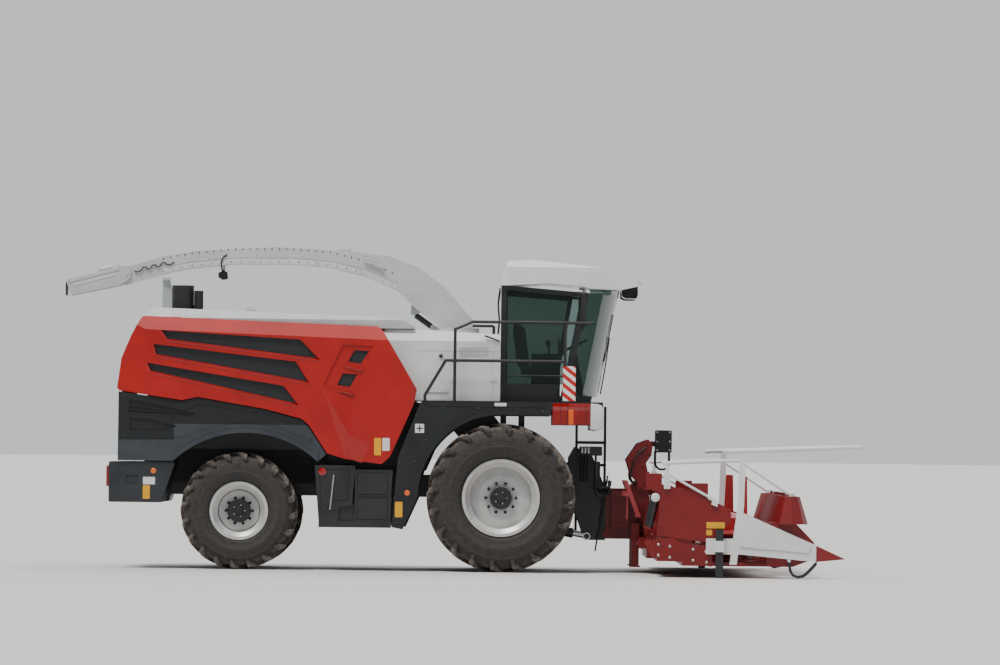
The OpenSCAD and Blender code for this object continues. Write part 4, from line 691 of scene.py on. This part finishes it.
class HARVESTER_OT_wheels(bpy.types.Operator):
    """Adds hub covers, nuts and screws, the lugs' outer ends and the rings on the tyres' walls"""
    bl_idname = "harvester.wheels"
    bl_label = "Wheel trim"

    def execute(self, context):
        for wheel in WHEELS:
            for side, g in SIDES.items():
                self.dress(wheel, side, g)
        return {"FINISHED"}

    def dress(self, wheel, side, g):
        """All the trim of one wheel."""
        body = wheel["axle"] + "_wheel_" + side
        rubber = wheel["axle"] + "_rubber"
        out = (0, g, 0)
        hub = Vector((wheel["x"], g * wheel["track"], wheel["radius"]))
        r, disc, cap = wheel["cover_r"], wheel["disc"], wheel["cap"]
        turned_part(body + "_hub_cover", "cab_plastic", body, [
            (r, disc - 0.002), (r + 0.002, disc + 0.004), (r + 0.001, cap - 0.012), (r - 0.012, cap + 0.004),
            (r * 0.62, cap + 0.008), (r * 0.58, cap + 0.004), (r * 0.42, cap + 0.004),
            (r * 0.38, cap + 0.012), (0.02, cap + 0.014), (0, cap + 0.014)], hub, out)
        ring = [(math.cos(a), math.sin(a)) for a in (2 * math.pi * i / NUTS for i in range(NUTS))]
        x, y, z = (hub - Vector((AXLE_X, 0, 0))) * 1000
        circle = 1000 * wheel["nut_circle"]
        scattered(body + "_nuts", "cab_plastic", body, hex_nut(0.021, 0.030),
                  [(x + circle * c, y + g * 1000 * disc, z + circle * t) for c, t in ring], out)
        scattered(body + "_cover_screws", "zinc", body, button_head(0.008, 0.005),
                  [(x + SCREW_CIRCLE * c, y + g * 1000 * (cap + 0.003), z + SCREW_CIRCLE * t)
                   for c, t in ring[::2]], out)
        self.shoulders(wheel, body, rubber, g, hub)
        for number, share in enumerate(WALL_RINGS):
            radius, half = tyre_wall(wheel, share)
            turned_part("%s_wall_ring_%d" % (body, number), rubber, body, [
                (radius - 0.005, half - 0.004), (radius - 0.003, half + 0.0025),
                (radius + 0.002, half + 0.003), (radius + 0.005, half - 0.005),
                (radius - 0.005, half - 0.004)], hub, out, 72)

    def shoulders(self, wheel, body, rubber, g, hub):
        """The lugs' outer ends, which run down over the tyre's shoulder."""
        radius, half = 1000 * wheel["radius"], 1000 * wheel["half"]
        middle, k = 0.68 * half, half / 350
        x, z, y = 1000 * (wheel["x"] - AXLE_X), radius, g * (1000 * wheel["track"] + half)
        master = board(body + "_shoulder", rubber, body, [
            (x + middle - 42 * k, z + 0.952 * radius), (x + middle + 34 * k, z + 0.936 * radius),
            (x + middle + 18 * k, z + 0.812 * radius), (x + middle - 30 * k, z + 0.806 * radius)],
            y - g * 78 * k, y - g * 3, 0.009 * k)
        turns = [Matrix.Translation(hub) @ Matrix.Rotation(2 * math.pi * (i + 0.5) / LUGS, 4, "Y")
                 @ Matrix.Translation(-hub) for i in range(LUGS)]
        activate(master)
        for turn in turns[1:]:
            copy = master.copy()
            copy.data = master.data.copy()
            copy.data.transform(turn)
            bpy.context.scene.collection.objects.link(copy)
            copy.select_set(True)
        master.data.transform(turns[0])
        bpy.ops.object.join()


# the three long recesses and the two scoops of a side panel: corners in x and z, in millimetres
RECESSES = [
    [(-4438, 3092), (-2618, 2990), (-2358, 2720), (-4342, 2957)],
    [(-4534, 2913), (-2673, 2703), (-2495, 2417), (-4493, 2758)],
    [(-4612, 2668), (-2826, 2386), (-2631, 2128), (-4562, 2544)],
]
SCOOPS = [
    [(-1920, 2862), (-1729, 2852), (-1838, 2685), (-2002, 2711)],
    [(-2072, 2559), (-1880, 2547), (-1975, 2382), (-2140, 2407)],
]


def drawn_in(outline, share):
    """An outline drawn in towards its middle by a share of its size."""
    mx = sum(p[0] for p in outline) / len(outline)
    mz = sum(p[1] for p in outline) / len(outline)
    return [(mx + (x - mx) * (1 - share), mz + (z - mz) * (1 - share)) for x, z in outline]


class HARVESTER_OT_panel_trim(bpy.types.Operator):
    """Adds the mesh in the side panels' recesses"""
    bl_idname = "harvester.panel_trim"
    bl_label = "Panel trim"

    def execute(self, context):
        for side, g in SIDES.items():
            body = "panel_" + side
            for number, outline in enumerate(RECESSES + SCOOPS):
                board("%s_mesh_%d" % (body, number), "mesh", body, drawn_in(outline, 0.015),
                      g * (RECESS_Y - 1), g * (RECESS_Y + 3), 0)
        return {"FINISHED"}


# blank films and reflectors: name, finish, body, low x and z, high x and z, the face that each lies on
FILMS = [
    ("panel_film", "yellow_film", "panel_{}", (-1650, 1500), (-1560, 1725), PANEL_Y),
    ("panel_film_pale", "white_film", "panel_{}", (-1545, 1560), (-1450, 1725), PANEL_Y),
    ("jack_film", "white_film", "chassis", (-1123, 1797), (-1006, 1914), PANEL_Y),
    ("fender_film", "yellow_film", "chassis", (-1372, 700), (-1275, 900), PANEL_Y),
    ("band_film", "white_film", "chassis", (-96, 2156), (60, 2198), PANEL_Y + 10),
    ("rear_film", "yellow_film", "chassis", (-4646, 902), (-4555, 1078), SKIRT_Y),
    ("rear_film_pale", "white_film", "chassis", (-4646, 1090), (-4490, 1186), SKIRT_Y),
    ("header_film", "yellow_film", "header_wing_{}", (2603, 628), (2836, 706), HEADER_END_Y),
    ("header_film_low", "yellow_film", "header_wing_{}", (2603, 540), (2676, 608), HEADER_END_Y),
]


def rectangle(x0, z0, x1, z1):
    """The corners of an upright rectangle, in x and z."""
    return [(x0, z0), (x1, z0), (x1, z1), (x0, z1)]


class HARVESTER_OT_films(bpy.types.Operator):
    """Adds the blank films, the reflectors and the striped boards' faces"""
    bl_idname = "harvester.films"
    bl_label = "Films and reflectors"

    def execute(self, context):
        for side, g in SIDES.items():
            for name, finish, body, (x0, z0), (x1, z1), y in FILMS:
                corners = [(x0 + 6, z0), (x1 - 6, z0), (x1, z0 + 6), (x1, z1 - 6), (x1 - 6, z1),
                           (x0 + 6, z1), (x0, z1 - 6), (x0, z0 + 6)]
                board("%s_%s" % (name, side), finish, body.format(side), corners,
                      g * (y - 1), g * (y + 1.5), 0)
            for name, x, z, y in (("fender", -1214, 1016, PANEL_Y), ("rear", -4510, 1265, SKIRT_Y)):
                turned_part("%s_reflector_%s" % (name, side), "amber_lens", "chassis", [
                    (0.034, -0.001), (0.036, 0.004), (0.030, 0.010), (0.012, 0.013), (0, 0.013)],
                    here(x, g * y, z), (0, g, 0), 32)
            y = PANEL_Y + 1
            board("jack_mark_across_" + side, "cab_plastic", "chassis",
                  rectangle(-1108, 1848, -1021, 1863), g * y, g * (y + 1.4), 0)
            board("jack_mark_up_" + side, "cab_plastic", "chassis",
                  rectangle(-1072, 1812, -1057, 1899), g * y, g * (y + 1.6), 0)
            x0, x1 = (784, 956) if side == "right" else (860, 1000)
            board("striped_board_face_" + side, "stripes", "chassis",
                  rectangle(x0 + 4, 2232, x1 - 4, 2684), g * 1461, g * 1464, 0)
        return {"FINISHED"}


# the lower edge of the spout's arm in x and z, and how far out its sides stand, in millimetres
ARM_LOW = [(-4480, 3853), (-4132, 3925), (-3565, 3989), (-2798, 3997), (-2273, 3960), (-1836, 3856),
           (-1398, 3675)]
ARM_SIDE = 170


def along(line, step, lift=0):
    """Points a step apart along a line of x and z, raised by lift."""
    points, left = [], 0.0
    for (x0, z0), (x1, z1) in zip(line, line[1:]):
        length = math.hypot(x1 - x0, z1 - z0)
        while left <= length:
            points.append((x0 + (x1 - x0) * left / length, z0 + (z1 - z0) * left / length + lift))
            left += step
        left -= length
    return points


class HARVESTER_OT_spout_trim(bpy.types.Operator):
    """Adds the spout's channel bands, bolts, cables and end fittings"""
    bl_idname = "harvester.spout_trim"
    bl_label = "Spout trim"

    def execute(self, context):
        band = [(x, z + 6) for x, z in ARM_LOW] + [(x, z + 92) for x, z in reversed(ARM_LOW)]
        for side, g in SIDES.items():
            board("spout_channel_" + side, "spout_channel", "spout", band,
                  g * (ARM_SIDE - 1), g * (ARM_SIDE + 3), 0.001)
            screwed("spout_bolts_" + side, "zinc", "spout", button_head(0.011, 0.007),
                    g * (ARM_SIDE + 2), along(ARM_LOW, 128, 48))
            screwed("spout_rivets_" + side, "grey_plastic", "spout", button_head(0.010, 0.006),
                    g * (ARM_SIDE - 0.5), along(ARM_LOW, 96, 205))
            board("deflector_rib_" + side, "spout_channel", "deflector",
                  [(-5120, 3850), (-5660, 3706), (-5652, 3684), (-5112, 3826)], g * 199, g * 206, 0.002)
        y, pitch = -(ARM_SIDE + 14), 62
        zigzag = [(-4790 + pitch * i, y - 2, 3905 + 0.25 * pitch * i + (22 if i % 2 else -22))
                  for i in range(7)]
        hose("deflector_cable", "rubber", "spout", [(-4860, y, 3880)] + zigzag + [(-4330, y, 4010)], 8)
        hose("lamp_cable", "rubber", "spout", [(-3700, -64, 3890), (-3712, -150, 3940), (-3716, -182, 4010),
             (-3690, -182, 4080), (-3640, -180, 4120)], 9)
        slab("spout_lamp_lens", "clear_lens", "spout", (-3762, -52, 3812), (-3748, 52, 3880))
        slab("flap_rubber", "rubber", "deflector", (-5762, -172, 3560), (-5748, 172, 3740))
        board("deck_bracket", "white_enamel", "chassis", [(-3372, 3358), (-3242, 3354), (-3242, 3400),
              (-3290, 3448), (-3360, 3448), (-3372, 3420)], -560, -480, 0.006)
        return {"FINISHED"}


def slab(name, finish, body, corner, other, edge=0.004):
    """A block between two corners, in millimetres, with rounded edges."""
    low, high = here(*map(min, corner, other)), here(*map(max, corner, other))
    deselect()
    bpy.ops.mesh.primitive_cube_add(size=1, location=(low + high) / 2)
    piece = bpy.context.object
    piece.scale = high - low
    settle()
    soften(piece, edge)
    return named(name, finish, body)


# how far the windscreen leans back, and the radius, the middle and the foot of its curve, in millimetres
SCREEN_LEAN = math.radians(11)
SCREEN_R = 1920
SCREEN_X = -700
SCREEN_Z = 2200


def screen_point(y, z, out=0):
    """A point on the windscreen at y and z, in millimetres, set outwards by out."""
    x = SCREEN_X + math.sqrt((SCREEN_R + out) ** 2 - y * y)
    lift = z - SCREEN_Z + x * math.sin(SCREEN_LEAN)
    return x * math.cos(SCREEN_LEAN) + lift * math.tan(SCREEN_LEAN), y, z


class HARVESTER_OT_cab_trim(bpy.types.Operator):
    """Adds mirror glasses, lamp lenses, the wiper and the fittings in the cab"""
    bl_idname = "harvester.cab_trim"
    bl_label = "Cab trim"

    def execute(self, context):
        for side, g in SIDES.items():
            slab("mirror_glass_" + side, "mirror", "chassis", (1014, g * 1166, 3226),
                 (1019, g * 1314, 3644), 0.002)
            slab("head_lamp_" + side, "clear_lens", "chassis", (1302, g * 1250, 1964),
                 (1309, g * 1410, 2036), 0.003)
            hose("cab_cable_" + side, "rubber", "chassis", [(-40, g * 850, 3700), (-62, g * 862, 3500),
                 (-48, g * 866, 3300), (-60, g * 858, 3120)], 11)
            hose("mirror_arm_upper_" + side, "black_enamel", "chassis", [(1000, g * 905, 3700),
                 (1060, g * 1060, 3690), (1046, g * 1240, 3665)], 11)
        for y in (-760, -560, 560, 760):
            slab("roof_lamp_lens_%d" % (y + 1000), "clear_lens", "chassis", (1756, y - 62, 3634),
                 (1764, y + 62, 3706), 0.003)
        hose("wiper_arm", "black_enamel", "chassis",
             [screen_point(-30, 2340, 26), screen_point(-180, 2700, 22), screen_point(-330, 3080, 18)], 9)
        hose("wiper_blade", "rubber", "chassis",
             [screen_point(-300, 2760, 9), screen_point(-330, 3080, 9), screen_point(-352, 3380, 9)], 7)
        slab("terminal_screen", "screen", "chassis", (820, -420, 2900), (836, -220, 3040), 0.006)
        hose("terminal_stalk", "cab_plastic", "chassis",
             [(740, -330, 2800), (800, -330, 2860), (826, -320, 2960)], 12)
        hose("drive_lever", "cab_plastic", "chassis",
             [(600, -335, 2850), (612, -335, 2920), (600, -335, 2980)], 14)
        turned_part("lever_knob", "cab_plastic", "chassis", [(0, 0.05), (0.02, 0.045), (0.032, 0.02),
                    (0.03, -0.02), (0.016, -0.05), (0, -0.052)], here(600, -335, 2990), (0, 0, 1), 24)
        return {"FINISHED"}


# bolts of the header's end boxes, of the panels on them and of the masts: x and z in millimetres
BOX_BOLTS = [(2000, 416), (2144, 393), (2439, 357), (2000, 277), (2144, 254), (2439, 220), (2600, 330),
             (2612, 196)]
END_BOLTS = [(2070, 1060), (2050, 860), (2030, 640), (2300, 1100), (2880, 860), (2870, 720), (2640, 480),
             (2300, 500)]
MAST_BOLTS = [(1700, 1480), (1790, 1600), (1900, 1690), (1930, 1560), (1840, 1400), (1880, 1180),
              (1830, 1130)]


class HARVESTER_OT_header_trim(bpy.types.Operator):
    """Adds the header's bolts, sleeves, caps and hoses"""
    bl_idname = "harvester.header_trim"
    bl_label = "Header trim"

    def execute(self, context):
        for side, g in SIDES.items():
            body = "header_wing_" + side
            end = g * (HEADER_END_Y - 1)
            screwed("end_box_bolts_" + side, "zinc", body, button_head(0.017, 0.010), end, BOX_BOLTS)
            screwed("end_panel_bolts_" + side, "header_enamel", body, button_head(0.012, 0.008), end, END_BOLTS)
            hose("end_sleeve_" + side, "black_enamel", body,
                 [(1962, g * 3530, 1036), (1869, g * 3530, 636)], 63)
            turned_part("end_cap_" + side, "white_enamel", body,
                        [(0.054, -0.002), (0.056, 0.002), (0.050, 0.008), (0.020, 0.012), (0, 0.012)],
                        here(1955, g * (HEADER_END_Y + 3), 1009), (0, g, 0))
            screwed("mast_bolts_" + side, "header_enamel", "feeder", hex_nut(0.018, 0.014), g * 504, MAST_BOLTS)
            for number, x in enumerate((1050, 1092, 1134)):
                hose("coupler_hose_%d_%s" % (number, side), "rubber", "feeder", [(x, g * 622, 1180),
                     (x - 6, g * 634, 1330), (x + 8, g * 634, 1460), (x + 4, g * 618, 1560)], 13)
                turned_part("coupler_%d_%s" % (number, side), "zinc", "feeder",
                            [(0.018, 0), (0.020, 0.01), (0.020, 0.07), (0.016, 0.078), (0, 0.078)],
                            here(x + 4, g * 618, 1556), (0, 0, 1), 16)
            hose("wing_line_" + side, "rubber", "feeder", [(1760, g * 470, 1150), (1700, g * 530, 1240),
                 (1720, g * 540, 1400), (1800, g * 530, 1560), (1900, g * 500, 1640)], 12)
        scattered("valve_screws", "zinc", "feeder", button_head(0.012, 0.008),
                  [(x, -129.5, z) for x in (2050, 2216) for z in (1606, 1720, 1842)], (0, -1, 0))
        return {"FINISHED"}


# screws of the fenders and of the skirts: x and z in millimetres
FENDER_SCREWS = [(-1320, 1400), (-1120, 1420), (-1330, 620), (-980, 1700), (-760, 2120), (-300, 2120),
                 (200, 2120), (540, 2090)]
SKIRT_SCREWS = [(-4900, 2240), (-4900, 1720), (-4200, 2120), (-2480, 1700)]


class HARVESTER_OT_body_trim(bpy.types.Operator):
    """Adds stays, isolators, bars, knobs and screws on the body"""
    bl_idname = "harvester.body_trim"
    bl_label = "Body trim"

    def execute(self, context):
        for side, g in SIDES.items():
            hose("box_stay_" + side, "zinc", "chassis", [(-2170, g * 1449, 1240), (-2215, g * 1449, 790)], 12)
            turned_part("isolator_" + side, "red_lens", "chassis",
                        [(0.048, 0), (0.050, 0.012), (0.030, 0.016), (0.028, 0.024), (0, 0.024)],
                        here(-2320, g * SKIRT_Y, 1280), (0, g, 0), 32)
            board("housing_bar_" + side, "black_enamel", "chassis",
                  [(-240, 3060), (-40, 2990), (-30, 3008), (-232, 3082)], g * 1283, g * 1300, 0.004)
            turned_part("housing_knob_" + side, "black_enamel", "chassis",
                        [(0.024, 0), (0.026, 0.02), (0.014, 0.03), (0, 0.03)],
                        here(-800, g * 1279, 2800), (0, g, 0), 24)
            screwed("fender_screws_" + side, "black_enamel", "chassis", button_head(0.014, 0.008),
                    g * (PANEL_Y - 0.5), FENDER_SCREWS)
            screwed("skirt_screws_" + side, "black_plastic", "chassis", button_head(0.014, 0.008),
                    g * (SKIRT_Y + 9.5), SKIRT_SCREWS)
        return {"FINISHED"}


class HARVESTER_OT_shields(bpy.types.Operator):
    """Adds dark sheets inside the body as painted shade, and the front lamp clusters"""
    bl_idname = "harvester.shields"
    bl_label = "Shade sheets and lamps"

    def execute(self, context):
        for side, g in SIDES.items():
            # painted shade: flat dark sheets inside the body that stand for its shaded inside, seen through the
            # gaps
            board("arch_shade_sheet_" + side, "cab_plastic", "chassis", rectangle(-4690, 1120, -2000, 1700),
                  g * 380, g * 386, 0)
            board("bay_shade_sheet_" + side, "cab_plastic", "chassis",
                  [(-2250, 1300), (-1000, 1300), (-620, 2190), (-2250, 2190)], g * 1150, g * 1156, 0)
            board("lamp_upper_" + side, "lamp_cluster", "chassis",
                  [(660, 2108), (1149, 2108), (1149, 2202), (672, 2202), (660, 2190)],
                  g * (PANEL_Y - 2), g * (PANEL_Y + 12), 0.004)
            board("lamp_cap_" + side, "white_enamel", "chassis",
                  [(1150, 1870), (1240, 1850), (1296, 1866), (1316, 1920), (1320, 2110), (1300, 2176),
                   (1240, 2200), (1150, 2204)], g * 1440, g * 1488, 0.012)
            for number, x in enumerate((760, 850, 1010, 1090)):
                board("lamp_rib_%d_%s" % (number, side), "rubber", "chassis", rectangle(x, 1935, x + 7, 2190),
                      g * 1491, g * 1494, 0)
        return {"FINISHED"}


class HARVESTER_OT_seat(bpy.types.Operator):
    """Replaces the plain seat by an upholstered one"""
    bl_idname = "harvester.seat"
    bl_label = "Seat"

    def execute(self, context):
        cushion = self.pad("seat_cushion", (500, 0, 2630), (480, 470, 120), 0, 0.022)
        back = self.pad("seat_backrest", (245, 0, 2950), (120, 450, 560), -8, 0.022)
        head = self.pad("seat_headrest", (190, 0, 3215), (90, 260, 110), -8, 0.012)
        turned_part("seat_pedestal", "cab_plastic", "chassis", [
            (0, 0.256), (0.10, 0.256), (0.11, 0.24), (0.07, 0.20), (0.065, 0.06), (0.13, 0.02), (0.14, 0.002),
            (0, 0.002)], here(500, 0, 2301), (0, 0, 1), 32)
        board("seat_shell", "cab_plastic", "chassis", [(260, 2556), (740, 2556), (740, 2576), (330, 2580),
              (290, 2700), (190, 3240), (168, 3236), (240, 2640)], -190, 190, 0.008)
        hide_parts("seat")
        return {"FINISHED"}

    def pad(self, name, middle, size, tilt, cap):
        """A cushion: a rounded block that cloth pressure crowns, each point moved by cap at most."""
        deselect()
        bpy.ops.mesh.primitive_cube_add(size=1, location=here(*middle))
        piece = bpy.context.object
        piece.scale = Vector(size) / 1000
        piece.rotation_euler = (0, math.radians(tilt), 0)
        settle()
        soften(piece, 0.018, 30, 3)
        crown(piece, cap)
        return named(name, "fabric", "chassis")


# the cushions' cloth: the size of its cells in metres, its pressure, and the frames that it swells for
CELL = 0.006
PRESSURE = 4
SWELL_FRAMES = 20


def crown(piece, cap):
    """Swells a closed cushion by cloth pressure, and applies the result."""
    activate(piece)
    remesh = piece.modifiers.new("voxels", "REMESH")
    remesh.mode = "VOXEL"
    remesh.voxel_size = CELL
    bpy.ops.object.modifier_apply(modifier=remesh.name)
    start = [v.co.copy() for v in piece.data.vertices]
    cloth = piece.modifiers.new("swell", "CLOTH")
    cloth.settings.use_pressure = True
    cloth.settings.uniform_pressure_force = PRESSURE
    cloth.settings.effector_weights.gravity = 0
    for frame_number in range(1, SWELL_FRAMES + 1):
        bpy.context.scene.frame_set(frame_number)
    bpy.ops.object.modifier_apply(modifier=cloth.name)
    bpy.context.scene.frame_set(1)
    for vertex, before in zip(piece.data.vertices, start):
        move = vertex.co - before
        if move.length > cap:
            vertex.co = before + move * (cap / move.length)
    rounder = piece.modifiers.new("rounder", "SUBSURF")
    rounder.levels = rounder.render_levels = 1
    bpy.ops.object.shade_smooth()


class HARVESTER_PT_panel(bpy.types.Panel):
    """Shows the settings and a button for each step in the sidebar"""
    bl_idname = "HARVESTER_PT_panel"
    bl_label = "Forage harvester"
    bl_space_type = "VIEW_3D"
    bl_region_type = "UI"
    bl_category = "Harvester"

    def draw(self, context):
        look = context.scene.harvester
        for name in look.__annotations__:
            self.layout.prop(look, name)
        for step in STEPS:
            self.layout.operator(step.bl_idname)


STEPS = [HARVESTER_OT_stage, HARVESTER_OT_finish_nodes, HARVESTER_OT_wheels, HARVESTER_OT_panel_trim,
         HARVESTER_OT_films, HARVESTER_OT_spout_trim, HARVESTER_OT_cab_trim, HARVESTER_OT_header_trim,
         HARVESTER_OT_body_trim, HARVESTER_OT_shields, HARVESTER_OT_seat]
CLASSES = [HarvesterSettings] + STEPS + [HARVESTER_PT_panel]


def register():
    for item in CLASSES:
        bpy.utils.register_class(item)
    bpy.types.Scene.harvester = bpy.props.PointerProperty(type=HarvesterSettings)


def unregister():
    del bpy.types.Scene.harvester
    for item in reversed(CLASSES):
        bpy.utils.unregister_class(item)


def main():
    register()
    for step in STEPS:
        group, name = step.bl_idname.split(".")
        getattr(getattr(bpy.ops, group), name)()


if __name__ == "__main__":
    main()
